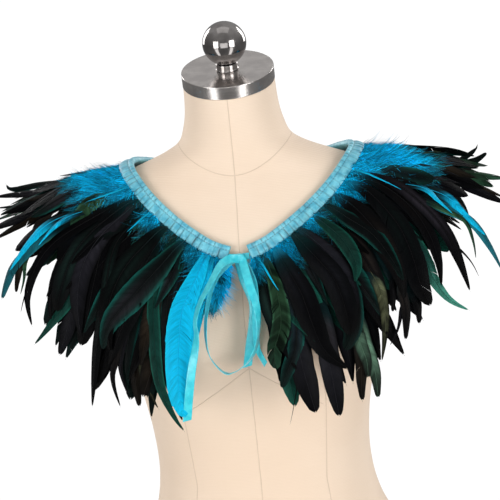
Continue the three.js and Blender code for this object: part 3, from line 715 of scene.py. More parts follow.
def make_band():
    rng = np.random.default_rng(5)
    q = np.linspace(-1, 1, BAND_RINGS)
    t = 1 - np.abs(q)
    side = np.where(q < 0, -1, 1)
    at, _, out, across = band_frame(t)
    step = 2 * NECK_TOTAL / (BAND_RINGS - 1)
    s = np.concatenate([[0], np.cumsum(np.full(BAND_RINGS - 1, step))])
    wide_rows = tuck_rows(rng, s[-1], *WIDE_TUCKS)
    narrow_rows = tuck_rows(rng, s[-1], *NARROW_TUCKS)
    wide_tucks, wide_dip_shade = tucked(s, wide_rows)
    narrow_tucks, narrow_dip_shade = tucked(s, narrow_rows)
    stitch = 0.5 + 0.5 * np.sin(s * 2 * math.pi / STITCH["pitch"])
    low, high = -BAND["width"] / 2, BAND["width"] / 2
    under, over = BAND["lift"], BAND["lift"] + BAND["thick"]
    seam = STITCH["at"]
    # Across the face from its free edge to the fold, then back under: place, height, share of each tuck row.
    face = [
        (high, over - 0.9, 0.35, 0), (high - 0.2, over - 0.3, 0.7, 0), (high - 1.4, over + 0.05, 1, 0),
        (high - 3.2, over + 0.3, 1, 0), (3.2, over + 0.45, 1, 0), (1.4, over + 0.4, 1, 0),
        (-0.4, over + 0.15, 0.9, 0), (seam + 0.9, over - 0.3, 0.55, 0.1),
        (seam + 0.3, over - 0.65, 0.25, 0.15), (seam - 0.3, over - 0.65, 0.15, 0.25),
        (seam - 0.9, over - 0.25, 0.1, 0.55), (seam - 2.0, over + 0.1, 0, 1),
        (seam - 3.2, over + 0.05, 0, 1), (low + 1.2, over - 0.3, 0, 0.8), (low + 0.4, over - 0.9, 0, 0.5),
        (low, over - 1.9, 0, 0.3), (low - 0.1, (under + over) / 2, 0, 0), (low, under + 0.6, 0, 0),
        (low + 0.6, under + 0.1, 0, 0), (0, under, 0, 0), (high, under, 0, 0), (high, under + 0.7, 0, 0),
        (low + 1.4, under + 0.8, 0, 0), (low + 1.4, over - 2.4, 0, 0), (high - 0.3, over - 1.5, 0, 0),
    ]
    ring, uvs, shade_and_stitch = [], [], []
    length = 0.0
    before = face[0]
    for place, height, wide_share, narrow_share in face:
        length += math.hypot(place - before[0], height - before[1])
        before = (place, height)
        raised = 0.62 * (wide_tucks * wide_share + narrow_tucks * narrow_share)
        # Painted shade in the dips beside the tucks; the row of stitching is darker as well.
        dark = 0.75 * (wide_dip_shade * wide_share + narrow_dip_shade * narrow_share)
        stitched = 0
        if abs(place - seam) < STITCH["half"]:
            dark = dark + 0.12 + 0.4 * stitch
            stitched = 0.35 * stitch
        for hand, where, breadth, depth, start, end in BAND_CREASES:
            if start <= place <= end and height > under + 3:
                middle = (where if hand < 0 else 2 - where) * NECK_TOTAL
                dip = depth * bell(s, middle, breadth)
                raised = raised - dip
                # Painted shade in the crease, darker the deeper it is.
                dark = dark + 0.35 * dip
        shade_and_stitch.append(np.repeat((1 - np.clip(dark, 0, 0.85))[:, None], 3, axis=1))
        pull = 0.35 * wide_tucks * (1 if place > 6 and height > 3 else 0)
        p = at + across * (place + pull)[:, None] + out * (height + raised + stitched)[:, None]
        ring.append(sided(p, side, t))
        uvs.append(np.stack([s, np.full(BAND_RINGS, length)], axis=-1))
    ring, uvs, shade_and_stitch = (np.stack(rows, axis=1) for rows in (ring, uvs, shade_and_stitch))
    faces = tube_faces(BAND_RINGS, len(face))
    return mesh_piece("band_satin_strip", "neck_band", ring, faces, BAND_SATIN, uvs, shade_and_stitch)


# Ribbon tie


def flat_section(across, half):
    """Once round a thin strip: each place over its width, and the height there."""
    return [(u, half) for u in across] + [(u, -half) for u in reversed(across)]


def ribbon_rings(path, steps, creases):
    """Closed thin rings along a path, with the edges a little beaded, their UV and the path's length."""
    spots = spline(path, np.linspace(0, len(path) - 1, steps))
    at = spots[:, :3]
    down = unit(np.gradient(at, axis=0))
    face = square_to(np.array([0, -1.0, 0]), down)
    turn = np.radians(spots[:, 3])[:, None]
    face = face * np.cos(turn) + np.cross(down, face) * np.sin(turn)
    wide = np.cross(down, face)
    lengths = distances(at)
    rows, uvs = [], []
    edge, bead, cup = 0.93, 1.35, 0.25
    for u, n in flat_section([-1, -edge, -0.6, -0.2, 0.2, 0.6, edge, 1], 0.5):
        crown = cup * (1 - u * u)
        for share, slant, breadth, depth in creases:
            crown = crown - depth * bell(lengths - share * lengths[-1] + slant * u, 0, breadth)
        height = n * RIBBON_THICK * (bead if abs(u) == edge else 1.0) + crown
        rows.append(at + wide * (u * RIBBON_WIDTH / 2) + face * np.reshape(height, (-1, 1)))
        uvs.append(np.stack([lengths, np.full(steps, (u + 1) * RIBBON_WIDTH / 2)], axis=-1))
    return np.stack(rows, axis=1), np.stack(uvs, axis=1), lengths[-1]


# The free ends are cut at a slant: how far over half the width, and its share in the last three rings.
END_SLANT = 2.2
END_SHARES = (1.0, 0.66, 0.33)


def make_ribbons():
    for name, path in TIE_PATHS.items():
        points, uvs, length = ribbon_rings(path, (len(path) - 1) * 12, RIBBON_CREASES[name])
        rings, around = points.shape[:2]
        if name != "tie_loop":
            slant = np.linspace(-1, 1, around // 2)
            cut = np.concatenate([slant, slant[::-1]])[:, None]
            end = unit(points[-1].mean(axis=0) - points[-4].mean(axis=0))
            for k, share in enumerate(END_SHARES, 1):
                points[-k] += end[None, :] * (cut * END_SLANT * share)
        faces = tube_faces(rings, around)
        piece = mesh_piece(f"{name}_satin", name, points, faces, RIBBON_SATIN, uvs)


def make_knot():
    """The knot: a rounded wrap with the folds of the ribbon running over it."""
    w, d, h = KNOT["width"] / 2, KNOT["depth"] / 2, KNOT["height"] / 2
    rows, columns = 40, 56
    v = (math.pi * (np.arange(rows) + 0.5) / rows - math.pi / 2)[:, None]
    u = (2 * math.pi * np.arange(columns) / columns)[None, :]
    x = power(np.cos(u), 0.55) * np.cos(v) ** 0.6
    y = power(np.sin(u), 0.55) * np.cos(v) ** 0.6
    z = power(np.sin(v), 0.8) + 0 * u
    fold = 1 + 0.07 * np.sin(7 * x + 2.4 * z) + 0.05 * np.sin(11 * x - 3 * z)
    points = np.stack([KNOT["x"] + w * x * 0.98, KNOT["y"] + d * y * fold, KNOT["z"] + h * z * 0.98], axis=-1)
    uvs = np.stack([12 * z, 6 * x], axis=-1)
    mesh_piece("knot_satin", "tie_knot", points, tube_faces(rows, columns), RIBBON_SATIN, uvs)


def make_bridge():
    reach = float(band_frame(np.array(0.0))[0][0]) - BRIDGE["end_gap"]
    x = np.linspace(-reach, reach, 40)
    sag = BRIDGE["sag"] * (1 - (x / reach) ** 2)
    section = flat_section(np.linspace(-1, 1, 9), -0.5)
    rows, uvs = [], []
    for u, n in section:
        y = BRIDGE["y"] + n * BRIDGE["thick"] + 0.12 * np.sin(x * 1.4 + 3 * u)
        rows.append(np.stack([x, y, BRIDGE["z"] - sag + u * BRIDGE["height"] / 2], axis=-1))
        uvs.append(np.stack([x, np.full(len(x), u * BRIDGE["height"] / 2)], axis=-1))
    points, uvs = np.stack(rows, axis=1), np.stack(uvs, axis=1)
    faces = tube_faces(len(x), len(section))
    piece = mesh_piece("bridge_satin", "tie_bridge", points, faces, RIBBON_SATIN, uvs)


# Camera


def camera_pose():
    """The camera's place in millimetres, and its right, up and back axes as columns."""
    azimuth, elevation, roll = (math.radians(CAMERA[key]) for key in ("azimuth", "elevation", "roll"))
    level = math.cos(elevation)
    back = Vector((math.sin(azimuth) * level, -math.cos(azimuth) * level, math.sin(elevation)))
    right = Vector((math.cos(azimuth), math.sin(azimuth), 0))
    up = back.cross(right)
    c, s = math.cos(roll), math.sin(roll)
    axes = Matrix((right * c - up * s, right * s + up * c, back)).transposed()
    seen = Vector((CAMERA_PIXEL[0] - PICTURE / 2, PICTURE / 2 - CAMERA_PIXEL[1], -CAMERA_FOCAL))
    axes = axes @ seen.rotation_difference(Vector((0, 0, -1))).to_matrix()
    return np.array(Vector(CAMERA["target"]) + back * CAMERA["away"]), np.array(axes)


CAMERA_PLACE, CAMERA_AXES = camera_pose()


def make_camera():
    lens = bpy.data.cameras.new("camera")
    lens.sensor_width = 36
    lens.lens = 36 * CAMERA_FOCAL / PICTURE
    camera = bpy.data.objects.new("camera", lens)
    turned_axes = Matrix(CAMERA_AXES.tolist()).to_4x4()
    camera.matrix_world = Matrix.Translation(Vector(CAMERA_PLACE) * MM) @ turned_axes
    bpy.context.scene.collection.objects.link(camera)
    bpy.context.scene.camera = camera


def pixel_of(p):
    v = (p - CAMERA_PLACE) @ CAMERA_AXES
    flat = CAMERA_FOCAL * v[..., :2] / -v[..., 2:]
    return np.stack([PICTURE / 2 + flat[..., 0], PICTURE / 2 - flat[..., 1]], axis=-1)


# Feathers

WIDTHS = {
    "round": [(0, 0.2), (0.12, 0.46), (0.3, 0.8), (0.55, 1), (0.8, 0.97), (0.92, 0.74), (1, 0.1)],
    "point": [(0, 0.2), (0.12, 0.46), (0.3, 0.85), (0.5, 1), (0.72, 0.84), (0.88, 0.46), (1, 0)],
    "sliver": [(0, 0.3), (0.2, 0.8), (0.4, 1), (0.7, 0.7), (0.9, 0.3), (1, 0)],
}

# Each look: colour of the vane's middle, of its edge and of its tip, share of the tip, and how far single
# barbs differ in brightness.
LOOKS = {
    "black": ("020203", "040506", "020202", 0.2, 0.15),
    # charcoal: a dark grey vane whose lighter middle is partly its own grey and partly a painted sheen.
    "charcoal": ("18181d", "08080a", "060608", 0.5, 0.3),
    "black_green": ("050808", "0c3f39", "061210", 0.25, 0.3),
    "green": ("0a2a24", "12493d", "0d352c", 0.3, 0.35),
    "moss": ("1d3523", "30573f", "193326", 0.35, 0.8),
    "pale_green": ("0c2f29", "235f50", "3d7f6e", 0.42, 0.3),
    "streaked": ("4c6a57", "131a16", "0b0e0c", 0.3, 0.9),
    "turquoise": ("0aaeda", "10c0e6", "0cb4dc", 0.3, 0.07),
    "teal": ("12525d", "1f6670", "17474f", 0.4, 0.4),
    "barred": ("0aa6d2", "0a4656", "0cb4dc", 0.4, 0.55),
    "olive": ("40442f", "14160f", "0e0f0b", 0.5, 1.0),
    "brown": ("1d1710", "0a0907", "0c0a08", 0.3, 0.5),
}
# Painted sheens: soft highlights painted into the colour over the middle of a dark vane.
PAINTED_SHEENS = ("2b282e", "25272c", "1b2830", "1b2f2a", "2a2521")
DARK_ROOT = linear("0a2b2c")
BLUE_ROOT = linear("0a9cc8")
# Painted shade on the part of a feather that lies under the others.
COVERED_SHADE = linear("0a1c1e")

# Where the roots and the down are dyed turquoise: side, t, spread, amount, and how far down they reach.
DYED = [
    (-1, 0.01, 0.02, 1.0, 62), (-1, 0.05, 0.025, 1.0, 64), (-1, 0.1, 0.02, 0.5, 26),
    (-1, 0.265, 0.02, 0.7, 20), (-1, 0.37, 0.02, 0.5, 34), (-1, 0.41, 0.025, 0.8, 70),
    (-1, 0.46, 0.04, 1.0, 68), (1, 0.0, 0.012, 0.6, 30), (1, 0.07, 0.025, 0.8, 28),
    (1, 0.1, 0.015, 0.5, 40), (1, 0.19, 0.025, 0.5, 24), (1, 0.33, 0.03, 1.0, 36), (1, 0.39, 0.02, 0.7, 40),
    (1, 0.45, 0.03, 1.0, 92), (-1, 0.54, 0.03, 0.5, 40), (1, 0.52, 0.04, 0.9, 50), (-1, 0.7, 0.04, 0.8, 40),
    (1, 0.68, 0.04, 0.8, 40), (-1, 0.84, 0.03, 0.7, 34), (1, 0.82, 0.03, 0.7, 34),
    (-1, 0.95, 0.03, 0.6, 36), (1, 0.97, 0.03, 0.6, 36),
]

# Feathers that show in front: look, width, height over the fan, shape, splits, the pixels that the quill
# passes, as x and y in turn, and for a feather on a wing the t where it starts.
SHOWN = [
    ("black_green", 10, 12, "round", 5, [127, 173, 75, 179, 35, 185, 16, 189, 5, 183], 0.56),
    ("charcoal", 20, 12, "point", 4, [112, 178, 64, 189, 32, 192, -8, 197], 0.53),
    ("black_green", 20, 10, "point", 4, [110, 182, 64, 196, 30, 203, -6, 208], 0.51),
    ("charcoal", 18, 9, "round", 4, [105, 190, 60, 207, 30, 217, -8, 229], 0.48),
    ("moss", 22, 14, "point", 5, [121, 184, 72, 199, 32, 209, -6, 221], 0.5),
    ("brown", 18, 14, "point", 4, [112, 194, 80, 208, 48, 219, 16, 229, -8, 241], 0.47),
    ("barred", 10, 22, "point", 3, [70, 216, 53, 228, 38, 246]),
    ("turquoise", 13, 20, "point", 4, [48, 224, 29, 243, 9.6, 271]),
    ("teal", 14, 19, "round", 4, [50, 232, 16, 263, 8, 279, 1.6, 300]),
    ("brown", 9, 17, "round", 4, [52, 232, 24, 257, 17.5, 279, 16, 294]),
    ("moss", 8, 16, "point", 3, [56, 232, 28, 255, 24, 279, 20, 296]),
    ("black", 14, 17, "point", 2, [96, 216, 56, 241, 37, 265, 27, 298, 32, 327]),
    ("black", 6, 13, "sliver", 1, [36, 270, 25.5, 293, 20.4, 314]),
    ("black", 16, 15, "point", 2, [112, 216, 80, 238, 60, 267, 50, 300, 51, 321]),
    ("green", 15, 12, "point", 2, [88, 262, 70, 298, 52.6, 322, 34, 345]),
    ("charcoal", 18, 10, "round", 1, [80, 285, 68.6, 322, 64, 339, 59, 356]),
    ("black", 24, 13, "round", 2, [110, 235, 94, 280, 86, 322, 80, 346]),
    ("black", 13, 15, "point", 1, [118, 240, 104, 300, 95, 354, 91, 408]),
    ("black", 13, 11, "sliver", 2, [130, 280, 118, 346, 112, 378, 120, 408]),
    ("charcoal", 11, 9, "sliver", 1, [136, 290, 126, 330, 120, 368, 129, 399]),
    ("brown", 14, 6, "round", 6, [140, 330, 137, 370, 136, 386, 139, 408]),
    ("olive", 12, 8, "point", 3, [142, 340, 143.5, 378, 150, 394, 158, 410]),
    ("green", 14, 14, "point", 1, [163, 260, 153, 300, 155, 362, 167, 407, 188, 433]),
    ("black_green", 17, 12, "point", 2, [176, 262, 167, 306, 166, 362, 174, 400, 182, 422]),
    ("turquoise", 29, 17, "round", 3, [203, 262, 184, 305, 179, 340, 178, 375, 185, 418]),
    ("turquoise", 11, 15, "point", 2, [210, 266, 203, 290, 197, 317, 192, 347]),
    ("black_green", 30, 18, "point", 2, [186, 240, 159, 268, 135, 295, 112, 322, 104, 350]),
    ("black", 27, 17, "point", 2, [160, 230, 131, 260, 113, 292, 107, 322, 110, 352]),
    ("charcoal", 24, 16, "point", 2, [136, 203, 104, 232, 84, 263, 77, 300, 80, 335]),
    ("black", 22, 16, "round", 2, [124, 206, 96, 228, 74, 254, 62, 285, 56, 312]),
    ("black_green", 10, 12, "round", 5, [374, 149, 409, 155, 449, 161, 466, 156, 478, 146], 0.56),
    ("black_green", 7, 12, "sliver", 3, [393, 153, 433, 158, 451, 151], 0.56),
    ("black_green", 10, 12, "round", 6, [395, 160, 420, 161, 449, 166, 473, 161, 487.5, 152], 0.53),
    ("moss", 17, 14, "round", 4, [375, 165, 405, 166, 433, 173, 465, 174, 504, 178], 0.5),
    ("brown", 12, 14, "point", 4, [385, 172, 409, 181, 449, 190, 502, 205], 0.48),
    ("charcoal", 13, 12, "round", 3, [400, 178, 445, 186, 470, 190, 504, 203], 0.47),
    ("turquoise", 10, 22, "point", 3, [424, 188, 438, 200, 453, 214]),
    ("barred", 13, 20, "point", 4, [446, 196, 462, 212, 486, 236]),
    ("teal", 14, 19, "point", 3, [440, 205, 470, 220, 488, 243, 503, 272]),
    ("moss", 8, 20, "point", 4, [435, 205, 463.6, 219, 473, 239.5, 476, 260]),
    ("black", 16, 18, "point", 1, [388, 180, 420, 202, 446, 232, 460, 262, 470, 292]),
    ("black", 16, 16, "point", 1, [380, 184, 410, 206, 430, 236, 438, 260, 441, 287]),
    ("black", 5, 14, "sliver", 1, [450, 240, 470, 260, 479.6, 278]),
    ("pale_green", 16, 12, "point", 2, [410, 236, 427, 263, 434, 280, 449, 299, 470, 310.5]),
    ("black", 24, 17, "round", 5, [366, 190, 396, 222, 412, 256, 420, 285, 430, 306]),
    ("black_green", 19, 19, "point", 1, [339, 212, 369, 231, 390, 256, 404, 281]),
    ("green", 18, 20, "point", 1, [313, 216, 340, 236, 356, 262, 355, 282]),
    ("charcoal", 20, 17, "round", 2, [304, 232, 326, 250, 343, 275, 351, 300, 352, 322]),
    ("black", 28, 19, "point", 1, [280, 256, 300, 290, 312, 322, 325, 350, 349, 369]),
    ("moss", 20, 17, "round", 8, [264, 256, 276, 288, 281, 322, 274, 352, 266, 373]),
    ("black_green", 17, 15, "round", 2, [280, 280, 294, 312, 296, 345, 287, 372, 275, 391]),
    ("charcoal", 26, 14, "round", 1, [294, 320, 301, 360, 309, 390, 316, 413]),
    ("charcoal", 22, 14, "round", 1, [322, 320, 329, 360, 334, 388, 339, 417]),
    ("black", 2.4, 8, "sliver", 1, [296, 340, 297, 382, 294, 404, 284, 428]),
    ("streaked", 15, 11, "round", 3, [352, 318, 361, 345, 367, 362, 368, 379]),
    ("streaked", 15, 9, "round", 2, [358, 320, 366, 346, 375, 372, 378, 399]),
    ("brown", 14, 7, "round", 2, [356, 330, 361, 360, 361, 384, 362, 402]),
    ("olive", 13, 12, "point", 3, [377, 282, 384, 306, 385, 330, 381, 362]),
    ("black", 11, 12, "round", 1, [398, 285, 405, 305, 406, 322, 405, 341]),
    ("charcoal", 9, 9, "sliver", 3, [404, 290, 401, 310, 397, 330, 388, 347]),
    ("black", 9, 13, "round", 1, [390, 270, 393, 290, 392, 313]),
    ("black_green", 22, 16, "round", 1, [340, 270, 352, 300, 352, 330, 344, 351]),
    ("black", 12, 9, "round", 1, [412, 290, 418, 308, 419, 325]),
    ("black", 26, 20, "round", 1, [300, 240, 330, 272, 345, 305, 350, 335]),
    ("black", 26, 18, "point", 1, [352, 205, 380, 236, 398, 270, 404, 300]),
    ("turquoise", 2.2, 19, "sliver", 1, [127, 187, 108, 194, 86, 202]),
    ("turquoise", 2.0, 21, "sliver", 1, [151, 211, 139, 221, 127, 232]),
    ("turquoise", 2.2, 21, "sliver", 1, [204, 253, 197, 263, 190, 276]),
    ("turquoise", 2.0, 19, "sliver", 1, [258, 258, 266, 270, 279, 291]),
    ("turquoise", 2.2, 20, "sliver", 1, [357, 170, 380, 179, 402, 190]),
]


def dyed(side, t, d):
    """How far the roots are dyed turquoise there, from 0 to 1."""
    share = np.zeros(np.broadcast(t, d).shape)
    for where, at, spread, amount, reach in DYED:
        if where == side:
            down = 1 - ease((d - 0.35 * reach) / (0.75 * reach))
            share = np.maximum(share, amount * bell(t, at, spread) * down)
    return share


# Every second place of the fan, as far back as the camera may see.
SEEN_PART = slice(0, 190, 2)
SEEN_T = GRID_T[SEEN_PART, None]


def seen_grid(side):
    grid = FAN_GRIDS[side][SEEN_PART]
    return pixel_of(sided(grid, side, np.broadcast_to(SEEN_T, grid.shape[:2])))


SEEN_GRIDS = {side: seen_grid(side) for side in (-1, 1)}


# For t, d and lift: small steps that show how the pixel moves with each, the longest stride, and their ends.
TRACE_STEPS = (0.004, 0.5, 0.5)
TRACE_STRIDE = np.array([0.03, 14, 8])
TRACE_ENDS = ([0.002, 5, -6], [0.62, 236, 60])
# Pixels of miss that a jump of 1 in t counts for.
TRACE_JUMP = 150
# A quill that starts further down than this gets a row under the others, and one at its root: d and lift.
UNDER_START = {"beyond": 60, "share": 0.6, "lift": 6.0}
ROOT_START = {"beyond": 16, "d": 7.0, "lift": 2.5}


def traced(side, pixels, lift, wing):
    """Rows of t, d and lift for a quill that passes the pixels, close to the lift given.

    On the face of the cape t and d start from the nearest place of the fan; on a wing they start from the
    given t, and the quill leaves the fan where it has to.
    """
    slack = np.array([250.0 if wing else 20.0, 0.002, 0.12 if wing else 1.5])
    at = np.array([wing or 0.2, 30.0, lift])
    rows = []
    for pixel in np.reshape(pixels, (-1, 2)).astype(float):
        if wing is None:
            miss = np.linalg.norm(SEEN_GRIDS[side] - pixel, axis=-1)
            if rows:
                miss = miss + TRACE_JUMP * np.abs(SEEN_T - at[0])
            i, j = np.unravel_index(np.argmin(miss), miss.shape)
            at = np.array([SEEN_T[i, 0], GRID_D[j], lift], float)
        goal = at.copy()
        for _ in range(8):
            tries = at + np.concatenate([np.zeros((1, 3)), np.diag(TRACE_STEPS)])
            spots = fan_frame(tries[:, 0], tries[:, 1], tries[:, 2], side)[0]
            seen = pixel_of(sided(spots, side, tries[:, 0]))
            slopes = ((seen[1:] - seen[0]) / np.array(TRACE_STEPS)[:, None]).T
            pull = slack * np.array([1, 0.01, 1])
            left = np.concatenate([slopes, np.diag(pull)])
            right = np.concatenate([pixel - seen[0], pull * (goal - at) * np.array([1, 0, 1])])
            step = np.linalg.lstsq(left, right, rcond=None)[0]
            at = np.clip(at + np.clip(step, -TRACE_STRIDE, TRACE_STRIDE), *TRACE_ENDS)
        rows.append(tuple(at))
    if rows[0][1] > UNDER_START["beyond"]:
        rows.insert(0, (rows[0][0], UNDER_START["share"] * rows[0][1], UNDER_START["lift"]))
    if rows[0][1] > ROOT_START["beyond"]:
        rows.insert(0, (rows[0][0], ROOT_START["d"], ROOT_START["lift"]))
    return np.array(rows)


# Feathers high on a wing lie edge-on to the front, so they are turned about their quills.
EDGE_TURN = 55
HIGH_ON_WING = 0.52
PICTURE_MIDDLE = 240


def shown_specs():
    rng = np.random.default_rng(3)
    specs = []
    for look, width, lift, shape, clumps, pixels, *wing in SHOWN:
        wing = wing[0] if wing else None
        side = -1 if pixels[0] < PICTURE_MIDDLE else 1
        rows = traced(side, pixels, lift, wing)
        edge_turn = EDGE_TURN if wing and wing > HIGH_ON_WING else 0
        under_others = len(rows) == len(pixels) // 2 + 2
        specs.append({
            "row": 2, "side": side, "rows": rows, "t": float(rows[0][0]), "width": width, "look": look,
            "shape": shape, "clumps": clumps, "twist": rng.normal(0, 8) + edge_turn,
            "ragged": 0.01 + 0.012 * clumps, "covered": float(rows[2][1]) if under_others else 0,
        })
    return specs


def choose(rng, choices):
    names = list(choices)
    shares = np.array([choices[name] for name in names], float)
    return names[rng.choice(len(names), p=shares / shares.sum())]


def zone_looks(side, t):
    """Which looks grow where, and how often."""
    if t < 0.06:
        return {"turquoise": 1, "black_green": 2, "green": 1} if side < 0 else {"green": 3, "black": 2}
    if t < 0.36:
        return {"black": 7, "charcoal": 3, "black_green": 3, "green": 1, "brown": 0.7}
    if t < 0.62:
        return {"black": 4, "charcoal": 3, "black_green": 3, "moss": 3, "brown": 2}
    return {"black": 6, "charcoal": 2, "black_green": 3, "green": 1, "pale_green": 0.4}


# Grown feathers, the cape's own and the finer ones between them: least and most width, share of the row's
# length in front, and at the back, which begins at BACK_FROM.
OWN = {"width": (19, 27), "front": (0.88, 1.0), "back": (0.9, 1.02)}
FINER = {"width": (13, 22), "front": (0.55, 0.84), "back": (0.6, 0.92)}
BACK_FROM = 0.58
# Beside the ribbon on the wearer's right the grown feathers are short: up to which t, and their share.
NOTCH = {"t": 0.05, "share": 0.32}


def grown_specs():
    """One feather for each of the cape's own, and finer ones between them."""
    rng = np.random.default_rng(11)
    specs = []
    for row_index, (row, length, count) in enumerate(ROWS):
        for side in (-1, 1):
            for i in range(count * 2 - 1):
                own = i % 2 == 0
                index = i // 2
                t = (index + (0.5 if own else 1.0)) / count
                odd = (index if side > 0 else index + 1) % 2
                kind = OWN if own else FINER
                least, most = kind["front" if t < BACK_FROM else "back"]
                if t < BACK_FROM:
                    near = 0.14 * bell(t, *SHOULDER_FRONT)
                    least, most = least - (near if own else 0), most - near
                reach = length * reach_at(t, side) * rng.uniform(least, most)
                if side < 0 and t < NOTCH["t"]:
                    reach *= NOTCH["share"]
                bend = rng.normal(0, 11)
                t = float(np.clip(t + rng.uniform(-0.008, 0.008), 0.004, 0.996))
                specs.append({
                    "row": row_index, "side": side, "t": t, "length": reach,
                    "width": rng.uniform(*kind["width"]),
                    "odd": odd + (0 if own else rng.uniform(-0.6, 0.9)),
                    "bend": bend, "aside": rng.normal(0, 6) - 0.3 * bend, "curl": rng.normal(0, 4),
                    "twist": rng.normal(0, 14), "look": choose(rng, zone_looks(side, t)),
                    "shape": choose(rng, {"point": 6, "round": 3, "sliver": 2}),
                    "clumps": int(rng.integers(1, 4)), "ragged": rng.uniform(0.02, 0.07),
                    "covered": 0, "low": 1 - 0.45 * bell(t, *SHOULDER_TOP),
                })
    return specs


# Points along a quill, barbs down a vane and steps out along a barb; shares of the quill before and along the
# vane; and the least gap over the form.
STATIONS = 30
BARBS = 34
ACROSS = 3
BARE_SHARE = 0.03
VANE_SHARE = 0.95
FEATHER_GAP = 1.2
# Brightness of single feathers, least and most, which varies less on blue ones: middle and share of the
# change.
BRIGHT = (0.7, 1.5)
BLUE_BRIGHT = {"middle": 0.97, "share": 0.15}
# How much of the root's colour a feather takes, dark or blue.
ROOT_DARK = 0.85
ROOT_BLUE = 0.3


def quill_line(spec):
    """The quill's places, with the axes of the vane over and out of it, and t and d there."""
    s = np.linspace(0, 1, STATIONS)
    side = spec["side"]
    if "rows" in spec:
        rows = spec["rows"]
        spots = fan_frame(rows[:, 0], rows[:, 1], rows[:, 2], side)[0]
        far = distances(spots)
        t, d, lift = spline(rows, np.interp(s * far[-1], far, np.arange(len(rows)))).T
        at, _, out = fan_frame(np.clip(t, 0, 1), d, lift, side)
    else:
        t = np.full(STATIONS, spec["t"])
        d = 6 + s * (spec["length"] - 6)
        lift = spec["low"] * feather_lift(spec["row"], spec["odd"], d)
        at, wide, out = fan_frame(t, d, lift, side)
        at = at + wide * (spec["bend"] * s**2 + spec["aside"] * ease(s * 1.6))[:, None]
        at = at + out * (spec["curl"] * s**3)[:, None]
    down = unit(np.gradient(at, axis=0))
    out = square_to(out, down)
    wide = np.cross(out, down)
    turn = np.radians(spec["twist"] * ease((s - 0.15) / 0.85))[:, None]
    wide, out = wide * np.cos(turn) + out * np.sin(turn), out * np.cos(turn) - wide * np.sin(turn)
    return s, at, wide, out, t, d


